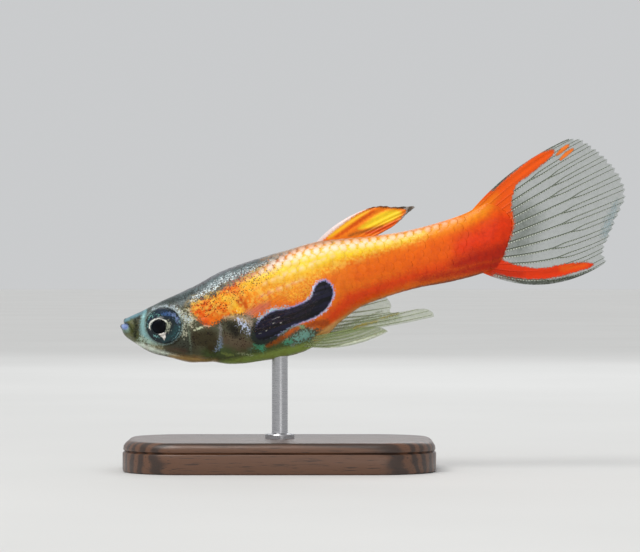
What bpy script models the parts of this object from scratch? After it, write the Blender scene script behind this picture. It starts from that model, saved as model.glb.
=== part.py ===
"""Life-size display model of a male guppy, tail raised, on a small wooden stand with one steel rod.

The fish is drawn in its own axes, in millimetres: x runs from the snout to the tail, y to the fish's
right side and z towards its back. Each mesh is made in metres, and the empty fish_pose then pitches
and places the whole fish over the stand. The origin is on the floor, under the rod.
"""

import math

import bmesh
import bpy
import numpy as np
from mathutils import Vector

# Driving sizes, in millimetres, of a fish about 30 mm long
MM = 0.001
GAP = 0.3
HEAD_GAP = 0.2
HEAD_DOWN_DEG = 13.6
TAIL_SWAY = 1.3
SWAY_START, SWAY_END = 9.0, 30.0

STAND_LENGTH, STAND_WIDTH, STAND_HEIGHT = 18.0, 11.0, 1.8
STAND_CORNER, STAND_CHAMFER = 3.6, 0.35
ROD_RADIUS = 0.5
ROD_STATION = 8.5
ROD_OVER_SNOUT = 1.0
SNOUT_HEIGHT = 8.2

FIN_THICKNESS = 0.5
FIN_EDGE_THICKNESS = 0.22
RAY_RIDGE = 0.09

# Outlines of the body along its length: (distance from the snout, height over the fish's axis)
BACK = [(0, -0.06), (0.12, 0.27), (0.5, 0.5), (1.3, 0.67), (2.6, 0.97), (4.0, 1.24), (5.1, 1.52),
        (6.3, 1.83), (8.2, 2.05), (10.6, 2.16), (12.1, 2.22), (13.6, 2.05), (15.3, 1.79), (17.2, 1.62),
        (19.4, 1.66), (20.2, 1.72), (21.0, 1.83), (21.7, 1.97), (22.3, 2.08), (23.4, 2.08)]
BELLY = [(0, -0.16), (0.12, -0.53), (0.5, -0.97), (1.3, -1.75), (2.4, -2.34), (3.4, -2.86),
         (4.4, -3.08), (5.6, -3.55), (7.4, -3.79), (9.0, -3.87), (10.3, -3.75), (11.1, -3.46),
         (12.4, -2.66), (13.7, -2.1), (15.2, -1.88), (17.2, -1.79), (19.2, -1.9), (20.8, -1.88),
         (22.0, -1.74), (23.4, -1.5)]
# Half the width, and the height at which the body is widest
HALF_WIDTH = [(0, 0.0), (0.12, 0.42), (0.5, 0.66), (1.3, 0.98), (2.4, 1.36), (3.8, 1.56), (5.4, 1.66),
              (7.6, 1.7), (9.4, 1.62), (11.1, 1.4), (12.6, 1.17), (14.2, 1.0), (16.4, 0.88),
              (18.6, 0.78), (20.4, 0.66), (21.5, 0.52), (22.4, 0.4), (23.4, 0.3)]
WIDEST_AT = [(0, -0.1), (0.5, -0.2), (2.4, -0.5), (5.0, -0.85), (8.0, -1.0), (11.0, -0.75), (14.0, -0.1),
             (18.0, -0.08), (23.4, 0.0)]
# How boxy the section is above its widest height: 2 is an ellipse
BOXY_ABOVE = [(0, 2.2), (2.5, 2.7), (4.5, 2.4), (7.0, 2.15), (23.4, 2.0)]
BOXY_BELOW = 2.1

# Seams between the head, the trunk and the tail stalk: (height, distance from the snout)
NECK_SEAM = [(-3.8, 5.3), (-2.6, 5.95), (-1.6, 6.1), (-0.6, 5.9), (0.6, 5.55), (1.8, 5.35)]
STALK_SEAM = [(-2.4, 13.45), (0.0, 14.3), (2.1, 15.15)]
STALK_END = [(-1.9, 21.6), (-1.2, 22.3), (-0.3, 22.8), (0.6, 22.8), (1.3, 22.4), (1.8, 21.9)]

EYE_AT = (2.47, -0.43)
EYE_RADIUS = 1.0
EYE_PROUD, EYE_DEPTH = 0.24, 0.85
EYE_TURN_DEG = 11
PUPIL_AT = (-0.34, 0.03)
PUPIL_RADIUS, PUPIL_DEPTH = 0.46, 0.16
NOSTRIL_AT, NOSTRIL_RADIUS, NOSTRIL_DEPTH = (1.12, 0.36), 0.13, 0.16
# How far each cutting shape stands out of the surface that it cuts
SOCKET_CUT_OUT, NOSTRIL_CUT_OUT, PUPIL_CUT_OUT, GILL_CUT_OUT = 0.8, 0.3, 0.3, 0.5

# The lower jaw lies in front of and below this line, seen from the side
MOUTH_LINE = [(-0.8, 0.36), (0.12, 0.3), (0.42, 0.14), (0.64, -0.14), (0.98, -0.9), (1.6, -2.6)]
MOUTH_MIDDLE = (1.3, -0.4)
JAW_CUT_CORNER, JAW_CUT_HALF_DEPTH = (-0.8, -2.8), 3
LIP_RISE, LIP_WIDTH = 0.07, 0.22
SNOUT_FLAT = 0.0015

GILL_COVER_AT, GILL_COVER_HALF = (4.82, -1.68), (0.92, 1.08)
GILL_COVER_ROUNDNESS = 2.8
GILL_COVER_PROUD = 0.07
GILL_COVER_THICKNESS, GILL_COVER_LEAST, GILL_COVER_INNER_LIMIT = 0.5, 0.2, 0.5
GILL_OPENING_REACH = 1.2

# Each fin: its root and its tips from the first ray to the last, seen from the side
CAUDAL_ROOT = [(20.9, 1.55), (21.7, 1.2), (22.15, 0.5), (22.15, -0.5), (21.7, -1.3), (21.0, -1.75)]
CAUDAL_TIPS = [(27.35, 4.5), (28.15, 4.3), (28.7, 3.75), (29.2, 3.1), (29.65, 2.3), (29.95, 1.4),
               (29.85, 0.45), (29.15, -0.5), (28.5, -1.4), (27.95, -2.15), (27.95, -2.95)]
CAUDAL_RAYS, CAUDAL_BOW_TOP, CAUDAL_BOW_LOW = 14, 0.42, 0.95
DORSAL_ROOT = [(11.7, 1.86), (13.2, 1.6), (14.6, 1.45)]
DORSAL_TIPS = [(15.3, 3.36), (16.1, 3.35), (17.05, 3.07), (18.1, 2.84), (17.6, 2.55), (17.15, 2.26),
               (16.55, 1.98)]
DORSAL_RAYS, DORSAL_BOW = 7, 0.28
ANAL_ROOT = [(10.95, -3.1), (11.6, -2.8), (12.3, -2.35), (13.2, -1.95)]
ANAL_TIPS = [(17.75, -3.62), (17.7, -3.3), (17.2, -3.0), (15.9, -2.88), (15.35, -2.75), (15.5, -2.35),
             (15.3, -1.75)]
ANAL_RAYS, ANAL_BOW = 7, 0.12
PELVIC_ROOT = [(9.95, -3.5), (10.3, -3.3), (10.65, -3.05)]
PELVIC_TIPS = [(14.95, -3.78), (14.6, -3.5), (13.9, -3.3), (13.1, -3.15)]
PELVIC_RAYS, PELVIC_BOW = 5, 0.42
PELVIC_OUT, PELVIC_FLARE, PELVIC_FROM = 0.48, 0.18, 8.75
PECTORAL_ROOT = [(6.8, -1.0), (6.8, -1.5), (6.9, -2.0)]
PECTORAL_TIPS = [(9.7, 0.5), (10.6, 0.25), (11.3, -0.35), (11.45, -1.1), (10.8, -1.85)]
PECTORAL_RAYS, PECTORAL_BOW = 10, 0.15
PECTORAL_SINK, PECTORAL_STAND_OFF, PECTORAL_TURN, PECTORAL_FLARE = 0.4, 1.0, 0.7, 0.1

# How many points stand around each section, and how many sections along each length; the head's and
# the room's crowd towards the snout
AROUND, HEAD_AROUND = 36, 46
HEAD_SECTIONS, HEAD_CROWDING = 34, 1.8
TRUNK_SECTIONS, STALK_SECTIONS = 18, 15
ROOM_FRONT, ROOM_SECTIONS, ROOM_CROWDING = 0.02, 48, 1.3


def smooth_through(points, at, root_scale=False):
    """Reads a smooth curve through (distance, value) points. root_scale runs it over the root of the
    distance, which rounds the snout."""
    xs, ys = np.array(points, float).T
    at = np.clip(at, xs[0], xs[-1])
    if root_scale:
        xs, at = np.sqrt(xs), np.sqrt(at)
    slopes = np.gradient(ys, xs)
    i = np.clip(np.searchsorted(xs, at) - 1, 0, len(xs) - 2)
    span = xs[i + 1] - xs[i]
    t = (at - xs[i]) / span
    return (ys[i] * (1 + 2 * t) * (1 - t) ** 2 + slopes[i] * span * t * (1 - t) ** 2
            + ys[i + 1] * t * t * (3 - 2 * t) + slopes[i + 1] * span * t * t * (t - 1))


def along_outline(points, share):
    """The point at a share of the way along an outline of (x, z) points, counted by its points."""
    steps = np.linspace(0, 1, len(points))
    xs, zs = np.array(points, float).T
    return np.array([smooth_through(list(zip(steps, xs)), share),
                     smooth_through(list(zip(steps, zs)), share)]).T


def section(x):
    """Back, belly, widest height, half width and upper boxiness of the body at a distance."""
    return (smooth_through(BACK, x, True), smooth_through(BELLY, x, True),
            smooth_through(WIDEST_AT, x, True), smooth_through(HALF_WIDTH, x, True),
            smooth_through(BOXY_ABOVE, x, True))


def skin_points(x, turn, grow=0.0):
    """Points on the body's skin at distances x and turns round it: 0 at the back, 0.5 at the belly."""
    back, belly, widest, half_width, boxy_above = section(x)
    up, side = np.cos(2 * math.pi * turn), np.sin(2 * math.pi * turn)
    boxy = np.where(up > 0, boxy_above, BOXY_BELOW)
    reach = np.where(up > 0, back - widest, widest - belly) + grow
    z = widest + reach * np.sign(up) * np.abs(up) ** (2 / boxy)
    y = (half_width + grow) * np.sign(side) * np.abs(side) ** (2 / boxy)
    return np.stack([x + 0 * z, y, z], -1)


def flank_y(x, z):
    """How far the skin lies from the fish's middle plane, at a place seen from the side."""
    back, belly, widest, half_width, boxy_above = section(x)
    boxy = np.where(z > widest, boxy_above, BOXY_BELOW)
    reach = np.where(z > widest, back - widest, widest - belly)
    level = np.clip(np.abs(z - widest) / reach, 0, 0.995)
    return half_width * (1 - level ** boxy) ** (1 / boxy)


def sway(x):
    """The tail's gentle swing to the fish's left."""
    t = np.clip((x - SWAY_START) / (SWAY_END - SWAY_START), 0, 1)
    return -TAIL_SWAY * t ** 1.6


def lips(points):
    """Raises the two lips, rolls that run along the mouth from corner to corner."""
    x, z = points[..., 0], points[..., 2]
    far = np.full(x.shape, 9.0)
    for (x0, z0), (x1, z1) in zip(MOUTH_LINE, MOUTH_LINE[1:4]):
        t = np.clip(((x - x0) * (x1 - x0) + (z - z0) * (z1 - z0)) / ((x1 - x0) ** 2 + (z1 - z0) ** 2), 0, 1)
        far = np.minimum(far, np.hypot(x - x0 - t * (x1 - x0), z - z0 - t * (z1 - z0)))
    rise = LIP_RISE * np.exp(-((far - LIP_WIDTH) / (0.6 * LIP_WIDTH)) ** 2)
    out = points - np.array([MOUTH_MIDDLE[0], 0.0, MOUTH_MIDDLE[1]])
    return points + out / np.linalg.norm(out, axis=-1, keepdims=True) * rise[..., None]


def in_metres(points):
    """Fish axes in millimetres to mesh coordinates in metres, with the tail's swing."""
    points = np.array(points, float)
    points[:, 1] += sway(points[:, 0])
    return [Vector(p) for p in points * MM]


def make_object(name, points, faces, parent=None):
    mesh = bpy.data.meshes.new(name)
    mesh.from_pydata(points, [], faces)
    shape = bmesh.new()
    shape.from_mesh(mesh)
    bmesh.ops.recalc_face_normals(shape, faces=shape.faces)
    shape.to_mesh(mesh)
    shape.free()
    mesh.shade_smooth()
    mesh.set_sharp_from_angle(angle=math.radians(40))
    thing = bpy.data.objects.new(name, mesh)
    bpy.context.scene.collection.objects.link(thing)
    thing.parent = parent
    return thing


def tube_faces(rings, around):
    """Faces between rings of points, each ring closed on itself."""
    return [(r * around + i, r * around + (i + 1) % around,
             (r + 1) * around + (i + 1) % around, (r + 1) * around + i)
            for r in range(rings - 1) for i in range(around)]


def fan_faces(first, around, centre):
    return [(first + i, first + (i + 1) % around, centre) for i in range(around)]


def body_length(name, start, end, stations, parent, around=AROUND, grow=0.0, shaped=None):
    """A closed length of the body. start and end give a distance for each height, so a seam may curve."""
    turns = np.arange(around) / around
    heights_at_start = skin_points(np.full(around, start(0.0)), turns)[:, 2]
    heights_at_end = skin_points(np.full(around, end(0.0)), turns)[:, 2]
    first, last = start(heights_at_start), end(heights_at_end)
    rings = [skin_points(first + (last - first) * share, turns, grow) for share in stations]
    if shaped:
        rings = [shaped(ring) for ring in rings]
    points = list(np.concatenate(rings))
    count = len(points)
    for ring, seam in ((rings[0], start), (rings[-1], end)):
        middle_height = (ring[:, 2].max() + ring[:, 2].min()) / 2
        points.append(np.array([seam(middle_height), 0.0, middle_height]))
    faces = tube_faces(len(rings), around)
    faces += fan_faces(0, around, count) + fan_faces(count - around, around, count + 1)
    return make_object(name, in_metres(points), faces, parent)


def at(distance):
    return lambda height: distance + 0 * np.asarray(height)


def seam(points, shift):
    return lambda height: smooth_through(points, height) + shift


def even(count):
    return np.linspace(0, 1, count)


def helper(thing):
    """Marks a cutter, which is no part of the model."""
    thing.hide_render = True
    thing.display_type = "WIRE"
    return thing


def keep_largest(mesh):
    """Keeps a mesh's largest closed surface and drops loose scraps and sealed hollows."""
    shape = bmesh.new()
    shape.from_mesh(mesh)
    left, shells = set(shape.faces), []
    while left:
        shell, edge_of_shell = set(), [left.pop()]
        while edge_of_shell:
            face = edge_of_shell.pop()
            shell.add(face)
            near = {f for e in face.edges for f in e.link_faces} & left
            left -= near
            edge_of_shell += near
        shells.append(shell)
    shells.sort(key=lambda shell: sum(f.calc_area() for f in shell))
    bmesh.ops.delete(shape, geom=[f for shell in shells[:-1] for f in shell], context="FACES")
    shape.to_mesh(mesh)
    shape.free()


def carve(thing, *steps):
    """Runs Boolean steps, each (operation, other object), and keeps the result as the object's mesh."""
    for operation, other in steps:
        modifier = thing.modifiers.new(operation.lower(), "BOOLEAN")
        modifier.operation = operation
        modifier.object = other
    bpy.context.view_layer.update()
    evaluated = thing.evaluated_get(bpy.context.evaluated_depsgraph_get())
    mesh = bpy.data.meshes.new_from_object(evaluated)
    thing.modifiers.clear()
    keep_largest(mesh)
    thing.data = mesh
    return thing


def prism(name, outline, half_depth, parent):
    """A side-view outline carried straight across the fish."""
    count = len(outline)
    points = [np.array([x, side * half_depth, z]) for side in (-1, 1) for x, z in outline]
    faces = [tuple(range(count)), tuple(range(2 * count - 1, count - 1, -1))]
    faces += [(i, (i + 1) % count, count + (i + 1) % count, count + i) for i in range(count)]
    return helper(make_object(name, [Vector(p) * MM for p in points], faces, parent))


def shifted(line, by):
    """A line of (x, z) points moved sideways by a distance, up and back where it is positive."""
    points = np.array(line, float)
    run = np.gradient(points, axis=0)
    run /= np.linalg.norm(run, axis=1, keepdims=True)
    return points + by * np.stack([-run[:, 1], run[:, 0]], -1)


def lens(name, centre, y, radius, inner, outer, parent, facets=28):
    """A closed, rounded button on the flank, turned to face a little forwards: a low dome outwards and
    a bowl inwards."""
    side = math.copysign(1, y)
    turn = math.radians(EYE_TURN_DEG)
    profile = [(math.sin(share * math.pi / 2), -inner * math.cos(share * math.pi / 2) ** 0.7)
               for share in (0.3, 0.55, 0.75, 0.88)]
    profile += [(share, outer * (1 - share ** 2) ** 0.75) for share in (1.0, 0.94, 0.82, 0.66, 0.45, 0.24)]
    spokes = np.arange(facets) / facets * 2 * math.pi
    local = [np.stack([radius * share * np.cos(spokes), out + 0 * spokes, radius * share * np.sin(spokes)], -1)
             for share, out in profile]
    local = np.concatenate(local + [np.array([[0, -inner, 0], [0, outer, 0]])])
    back, out, up = local.T
    points = np.stack([centre[0] + back * math.cos(turn) - out * math.sin(turn),
                       y + side * (back * math.sin(turn) + out * math.cos(turn)), centre[1] + up], -1)
    count = len(points) - 2
    faces = tube_faces(len(profile), facets)
    faces += fan_faces(0, facets, count) + fan_faces(count - facets, facets, count + 1)
    return make_object(name, in_metres(points), faces, parent)


def gill_plate(name, side, margin, outer, inner, inner_limit, parent, reach_back=0.0):
    """A rounded plate that follows the flank, between two depths measured outwards from the skin. Its
    inner face stays outside inner_limit, so that the two sides never meet under the throat."""
    spokes, rings = 24, (0.5, 0.85, 1.0)
    turns = np.arange(spokes) / spokes * 2 * math.pi
    cos, sin = np.cos(turns), np.sin(turns)
    power = 2 / GILL_COVER_ROUNDNESS
    rim_x = (GILL_COVER_HALF[0] + margin) * np.sign(cos) * np.abs(cos) ** power
    rim_x += np.where(cos > 0, reach_back * (1 - sin ** 4), 0)
    rim_z = (GILL_COVER_HALF[1] + margin) * np.sign(sin) * np.abs(sin) ** power
    layers = []
    for depth, limit in ((outer, inner_limit + GILL_COVER_LEAST), (inner, inner_limit)):
        sheet = [(GILL_COVER_AT[0], GILL_COVER_AT[1])]
        sheet += [(GILL_COVER_AT[0] + ring * rx, GILL_COVER_AT[1] + ring * rz)
                  for ring in rings for rx, rz in zip(rim_x, rim_z)]
        sheet = np.array(sheet)
        y = np.maximum(flank_y(sheet[:, 0], sheet[:, 1]) + depth, limit)
        layers.append(np.stack([sheet[:, 0], side * y, sheet[:, 1]], -1))
    per_layer = len(layers[0])
    faces = []
    for layer in range(2):
        base = layer * per_layer
        faces += fan_faces(base + 1, spokes, base)
        faces += [tuple(base + 1 + i for i in face) for face in tube_faces(len(rings), spokes)]
    rim = per_layer - spokes
    faces += [(rim + i, rim + (i + 1) % spokes, per_layer + rim + (i + 1) % spokes, per_layer + rim + i)
              for i in range(spokes)]
    return make_object(name, in_metres(np.concatenate(layers)), faces, parent)


def ray_relief(across, along, rays, forked):
    """Height of the rays over the membrane, 0 to 1. A forked ray parts in two past its middle."""
    phase = (across * rays) % 1.0
    stem = np.clip(1 - np.abs(phase - 0.5) / 0.25, 0, 1)
    if not forked:
        return stem
    prongs = np.clip(1 - np.abs(np.abs(phase - 0.5) - 0.25) / 0.25, 0, 1)
    parted = np.clip((along - 0.5) / 0.15, 0, 1)
    return stem * (1 - parted) + prongs * parted


def fin(name, root, tips, rays, bow, lateral, parent, rows=9, per_ray=4, forked=True, tip_points=0.0):
    """A fin with its rays raised in its own surface. bow gives each ray's curve and lateral the height
    of the fin's middle sheet over the fish's middle plane. Both faces are split into triangles alike."""
    columns = rays * per_ray + 1
    across = even(columns)
    along = even(rows) ** 0.9
    roots, ends = along_outline(root, across), along_outline(tips, across)
    run = ends - roots
    length = np.linalg.norm(run, axis=1, keepdims=True)
    on_ray = ray_relief(across, 1.0, rays, forked)
    run = run * (1 + tip_points * on_ray[:, None] / length)
    normal = np.stack([-run[:, 1], run[:, 0]], -1) / length
    sheets = {-1: [], 1: []}
    for v in along:
        flat = roots + run * v + normal * (bow(across) * 4 * v * (1 - v))[:, None]
        half = FIN_THICKNESS / 2 + (FIN_EDGE_THICKNESS - FIN_THICKNESS) / 2 * np.clip((v - 0.7) / 0.3, 0, 1)
        half = half + RAY_RIDGE * ray_relief(across, v, rays, forked) * (1 - 0.6 * v)
        middle = lateral(flat[:, 0], flat[:, 1], across, v)
        for side in sheets:
            sheets[side].append(np.stack([flat[:, 0], middle + side * half, flat[:, 1]], -1))
    points = np.concatenate([np.concatenate(sheets[-1]), np.concatenate(sheets[1])])
    per_sheet = rows * columns
    faces = []
    for base in (0, per_sheet):
        for r in range(rows - 1):
            for c in range(columns - 1):
                a = base + r * columns + c
                b, d, e = a + 1, a + columns, a + columns + 1
                faces += [(a, b, e), (a, e, d)] if (r + c) % 2 else [(a, b, d), (b, e, d)]
    rim = [c for c in range(columns)]
    rim += [r * columns + columns - 1 for r in range(1, rows)]
    rim += [(rows - 1) * columns + c for c in range(columns - 2, -1, -1)]
    rim += [r * columns for r in range(rows - 2, 0, -1)]
    for a, b in zip(rim, rim[1:] + rim[:1]):
        faces += [(a, b, per_sheet + b), (a, per_sheet + b, per_sheet + a)]
    return make_object(name, in_metres(points), faces, parent)


def paint(thing, colour, roughness, metallic=0.0):
    finish = bpy.data.materials.new(thing.name)
    finish.use_nodes = True
    shader = finish.node_tree.nodes["Principled BSDF"]
    shader.inputs["Base Color"].default_value = (*colour, 1)
    shader.inputs["Roughness"].default_value = roughness
    shader.inputs["Metallic"].default_value = metallic
    thing.data.materials.clear()
    thing.data.materials.append(finish)
    return thing


def clear_scene():
    for thing in list(bpy.data.objects):
        bpy.data.objects.remove(thing)


def make_pose():
    """The empty that pitches the fish and holds it over the rod."""
    pitch = math.radians(HEAD_DOWN_DEG)
    belly = float(smooth_through(BELLY, ROD_STATION, True))
    pose = bpy.data.objects.new("fish_pose", None)
    bpy.context.scene.collection.objects.link(pose)
    pose.rotation_euler = (0, -pitch, 0)
    pose.location = (-(ROD_STATION * math.cos(pitch) - belly * math.sin(pitch)) * MM, 0, SNOUT_HEIGHT * MM)
    return pose


def make_head(pose):
    """The head and its lower jaw, cut from one shape, with sockets, nostrils and gill pockets."""
    stations = even(HEAD_SECTIONS) ** HEAD_CROWDING
    front, rear = at(SNOUT_FLAT), seam(NECK_SEAM, -GAP / 2)
    head = body_length("head", front, rear, stations, pose, HEAD_AROUND, shaped=lips)
    jaw = body_length("lower_jaw", front, rear, stations, pose, HEAD_AROUND, shaped=lips)
    jaw_side = prism("jaw_side", list(shifted(MOUTH_LINE, -HEAD_GAP / 2)) + [JAW_CUT_CORNER],
                     JAW_CUT_HALF_DEPTH, pose)
    jaw_room = prism("jaw_room", list(shifted(MOUTH_LINE, HEAD_GAP / 2)) + [JAW_CUT_CORNER],
                     JAW_CUT_HALF_DEPTH, pose)
    cuts = [("DIFFERENCE", jaw_room)]
    for side, hand in ((-1, "left"), (1, "right")):
        skin = side * float(flank_y(*EYE_AT))
        cuts.append(("DIFFERENCE", helper(lens(
            f"socket_{hand}", EYE_AT, skin, EYE_RADIUS + HEAD_GAP, EYE_DEPTH + HEAD_GAP,
            SOCKET_CUT_OUT, pose))))
        cuts.append(("DIFFERENCE", helper(lens(
            f"nostril_{hand}", NOSTRIL_AT, side * float(flank_y(*NOSTRIL_AT)),
            NOSTRIL_RADIUS, NOSTRIL_DEPTH, NOSTRIL_CUT_OUT, pose, facets=10))))
        cuts.append(("DIFFERENCE", helper(gill_plate(
            f"gill_pocket_{hand}", side, HEAD_GAP, GILL_CUT_OUT,
            GILL_COVER_PROUD - GILL_COVER_THICKNESS - HEAD_GAP, GILL_COVER_INNER_LIMIT - HEAD_GAP, pose,
            reach_back=GILL_OPENING_REACH))))
    carve(head, *cuts)
    carve(jaw, ("INTERSECT", jaw_side))
    paint(head, (0.33, 0.36, 0.3), 0.35)
    paint(jaw, (0.5, 0.56, 0.6), 0.35)


def make_eyes(pose):
    for side, hand in ((-1, "left"), (1, "right")):
        skin = side * float(flank_y(*EYE_AT))
        eye = lens(f"eye_{hand}", EYE_AT, skin, EYE_RADIUS, EYE_DEPTH, EYE_PROUD, pose)
        pupil_at = (EYE_AT[0] + PUPIL_AT[0], EYE_AT[1] + PUPIL_AT[1])
        pupil_room = helper(lens(f"pupil_step_{hand}", pupil_at, skin + side * EYE_PROUD,
                                 PUPIL_RADIUS, PUPIL_DEPTH, PUPIL_CUT_OUT, pose, facets=16))
        carve(eye, ("DIFFERENCE", pupil_room))
        paint(eye, (0.05, 0.12, 0.16), 0.1)


def make_gill_covers(pose):
    for side, hand in ((-1, "left"), (1, "right")):
        cover = gill_plate(f"gill_cover_{hand}", side, 0, GILL_COVER_PROUD,
                           GILL_COVER_PROUD - GILL_COVER_THICKNESS, GILL_COVER_INNER_LIMIT, pose)
        paint(cover, (0.3, 0.25, 0.22), 0.3)


def make_body(pose):
    trunk = body_length("trunk", seam(NECK_SEAM, GAP / 2), seam(STALK_SEAM, -GAP / 2),
                        even(TRUNK_SECTIONS), pose)
    stalk = body_length("tail_stalk", seam(STALK_SEAM, GAP / 2), seam(STALK_END, 0),
                        even(STALK_SECTIONS), pose)
    paint(trunk, (0.95, 0.45, 0.06), 0.35)
    paint(stalk, (0.85, 0.16, 0.01), 0.35)


def body_room(name, pose):
    """The body grown by the gap, which cuts a fin's root or the rod's top to meet it face to face."""
    sections = even(ROOM_SECTIONS) ** ROOM_CROWDING
    return helper(body_length(name, at(ROOM_FRONT), seam(STALK_END, GAP), sections, pose, grow=GAP))


def bow_of(first, last):
    """How far each ray bends: up by first at the fin's upper edge, down by last at its lower edge."""
    return lambda u: first * np.clip(1 - 2 * u, 0, 1) ** 1.5 - last * np.clip(2 * u - 1, 0, 1) ** 1.5


def upright(x, z, across, along):
    return 0 * x


def make_middle_fins(pose, room):
    caudal = fin("caudal_fin", CAUDAL_ROOT, CAUDAL_TIPS, CAUDAL_RAYS,
                 bow_of(CAUDAL_BOW_TOP, CAUDAL_BOW_LOW), upright, pose, rows=12, tip_points=0.14)
    dorsal = fin("dorsal_fin", DORSAL_ROOT, DORSAL_TIPS, DORSAL_RAYS,
                 lambda u: DORSAL_BOW * (1 - u), upright, pose, rows=9, tip_points=0.08)
    anal = fin("anal_fin", ANAL_ROOT, ANAL_TIPS, ANAL_RAYS,
               lambda u: -ANAL_BOW * (1 - u), upright, pose, rows=10, forked=False)
    for thing, colour in ((caudal, (0.9, 0.25, 0.03)), (dorsal, (0.95, 0.4, 0.03)), (anal, (0.45, 0.5, 0.3))):
        carve(thing, ("DIFFERENCE", room))
        paint(thing, colour, 0.3)


def make_paired_fins(pose, room):
    for side, hand in ((-1, "left"), (1, "right")):
        def pectoral_sheet(x, z, across, along, side=side):
            roots = along_outline(PECTORAL_ROOT, across)
            skin = flank_y(roots[:, 0], roots[:, 1])
            reach = np.hypot(x - roots[:, 0], z - roots[:, 1])
            bend = PECTORAL_STAND_OFF * (1 - np.exp(-reach / PECTORAL_TURN)) + PECTORAL_FLARE * reach
            return side * (skin - PECTORAL_SINK + bend)

        def pelvic_sheet(x, z, across, along, side=side):
            return side * (PELVIC_OUT + PELVIC_FLARE * (x - PELVIC_FROM))

        pectoral = fin(f"pectoral_fin_{hand}", PECTORAL_ROOT, PECTORAL_TIPS, PECTORAL_RAYS,
                       bow_of(PECTORAL_BOW, PECTORAL_BOW), pectoral_sheet, pose, rows=8, per_ray=2,
                       forked=False)
        pelvic = fin(f"pelvic_fin_{hand}", PELVIC_ROOT, PELVIC_TIPS, PELVIC_RAYS,
                     lambda u: -PELVIC_BOW * (1 - u), pelvic_sheet, pose, rows=8, per_ray=2, forked=False)
        for thing in (pectoral, pelvic):
            carve(thing, ("DIFFERENCE", room))
            paint(thing, (0.55, 0.6, 0.4), 0.3)


def make_stand(room):
    """A rounded wooden base with a chamfered top edge, and the steel rod that holds the belly."""
    shape = bmesh.new()
    steps, points = 6, []
    for corner, (sx, sy) in enumerate(((1, 1), (-1, 1), (-1, -1), (1, -1))):
        for step in range(steps + 1):
            angle = (corner + step / steps) * math.pi / 2
            points.append((sx * (STAND_LENGTH / 2 - STAND_CORNER) + STAND_CORNER * math.cos(angle),
                           sy * (STAND_WIDTH / 2 - STAND_CORNER) + STAND_CORNER * math.sin(angle), 0))
    face = shape.faces.new([shape.verts.new(Vector(p) * MM) for p in points])
    top = bmesh.ops.extrude_face_region(shape, geom=[face])["geom"]
    bmesh.ops.translate(shape, verts=[v for v in top if isinstance(v, bmesh.types.BMVert)],
                        vec=(0, 0, STAND_HEIGHT * MM))
    upper = [e for e in shape.edges if all(v.co.z > STAND_HEIGHT * MM / 2 for v in e.verts)]
    bmesh.ops.bevel(shape, geom=upper, offset=STAND_CHAMFER * MM, segments=3, profile=0.5, affect="EDGES")
    bmesh.ops.recalc_face_normals(shape, faces=shape.faces)
    mesh = bpy.data.meshes.new("stand_base")
    shape.to_mesh(mesh)
    shape.free()
    base = bpy.data.objects.new("stand_base", mesh)
    bpy.context.scene.collection.objects.link(base)
    paint(base, (0.12, 0.06, 0.03), 0.4)

    facets, low, high = 24, STAND_HEIGHT + GAP, SNOUT_HEIGHT + ROD_OVER_SNOUT
    turns = [i / facets * 2 * math.pi for i in range(facets)]
    ends = [Vector((ROD_RADIUS * math.cos(t), ROD_RADIUS * math.sin(t), z)) * MM
            for z in (low, high) for t in turns]
    faces = tube_faces(2, facets) + [tuple(range(facets)), tuple(range(2 * facets - 1, facets - 1, -1))]
    rod = make_object("stand_rod", ends, faces)
    carve(rod, ("DIFFERENCE", room))
    paint(rod, (0.6, 0.6, 0.62), 0.25, 1.0)


def main():
    clear_scene()
    pose = make_pose()
    bpy.context.view_layer.update()
    make_head(pose)
    make_eyes(pose)
    make_gill_covers(pose)
    make_body(pose)
    room = body_room("body_room", pose)
    make_middle_fins(pose, room)
    make_paired_fins(pose, room)
    make_stand(room)


main()
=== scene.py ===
"""The looks of the guppy display model: skin, scales, eyes, fins and stand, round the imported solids.

The fish is drawn in its own axes, in millimetres: x runs from the snout to the tail, y to the fish's
right side and z towards its back. Its meshes are in metres, and FISH_POSE pitches and places them.
"""

import math

import bpy
import numpy as np
from mathutils import Matrix, Vector


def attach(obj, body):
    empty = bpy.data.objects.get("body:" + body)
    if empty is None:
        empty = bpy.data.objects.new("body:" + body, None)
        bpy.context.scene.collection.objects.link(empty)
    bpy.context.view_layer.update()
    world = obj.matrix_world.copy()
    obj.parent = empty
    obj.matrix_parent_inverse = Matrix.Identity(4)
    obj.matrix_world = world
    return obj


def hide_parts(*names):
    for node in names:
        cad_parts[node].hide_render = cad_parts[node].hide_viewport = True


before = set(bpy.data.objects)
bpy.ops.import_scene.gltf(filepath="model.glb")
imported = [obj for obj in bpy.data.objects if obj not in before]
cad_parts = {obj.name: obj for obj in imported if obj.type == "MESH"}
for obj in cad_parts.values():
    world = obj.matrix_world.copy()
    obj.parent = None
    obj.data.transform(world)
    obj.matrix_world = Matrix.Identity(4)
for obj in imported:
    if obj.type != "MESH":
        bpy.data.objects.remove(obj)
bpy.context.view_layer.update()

# Studio. The model stands on a plain pale floor in an even pale surround. A broad soft sun at the upper
# left gives the shade, three soft boxes give the gloss, and the camera is level with the fish.
MM = 0.001
VIEW_WIDTH = 37.12
VIEW_MIDDLE = (2.33, 11.22)
LENS, SENSOR = 180.0, 36.0
FLOOR_HALF = 2500.0


def add_node(tree, kind, sockets=(), **settings):
    """Adds a shader node and fills its sockets with values or with other nodes' outputs."""
    made = tree.nodes.new("ShaderNode" + kind)
    for name, value in settings.items():
        setattr(made, name, value)
    for key, value in dict(sockets).items():
        if isinstance(value, bpy.types.NodeSocket):
            tree.links.new(value, made.inputs[key])
        else:
            made.inputs[key].default_value = value
    return made


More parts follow.
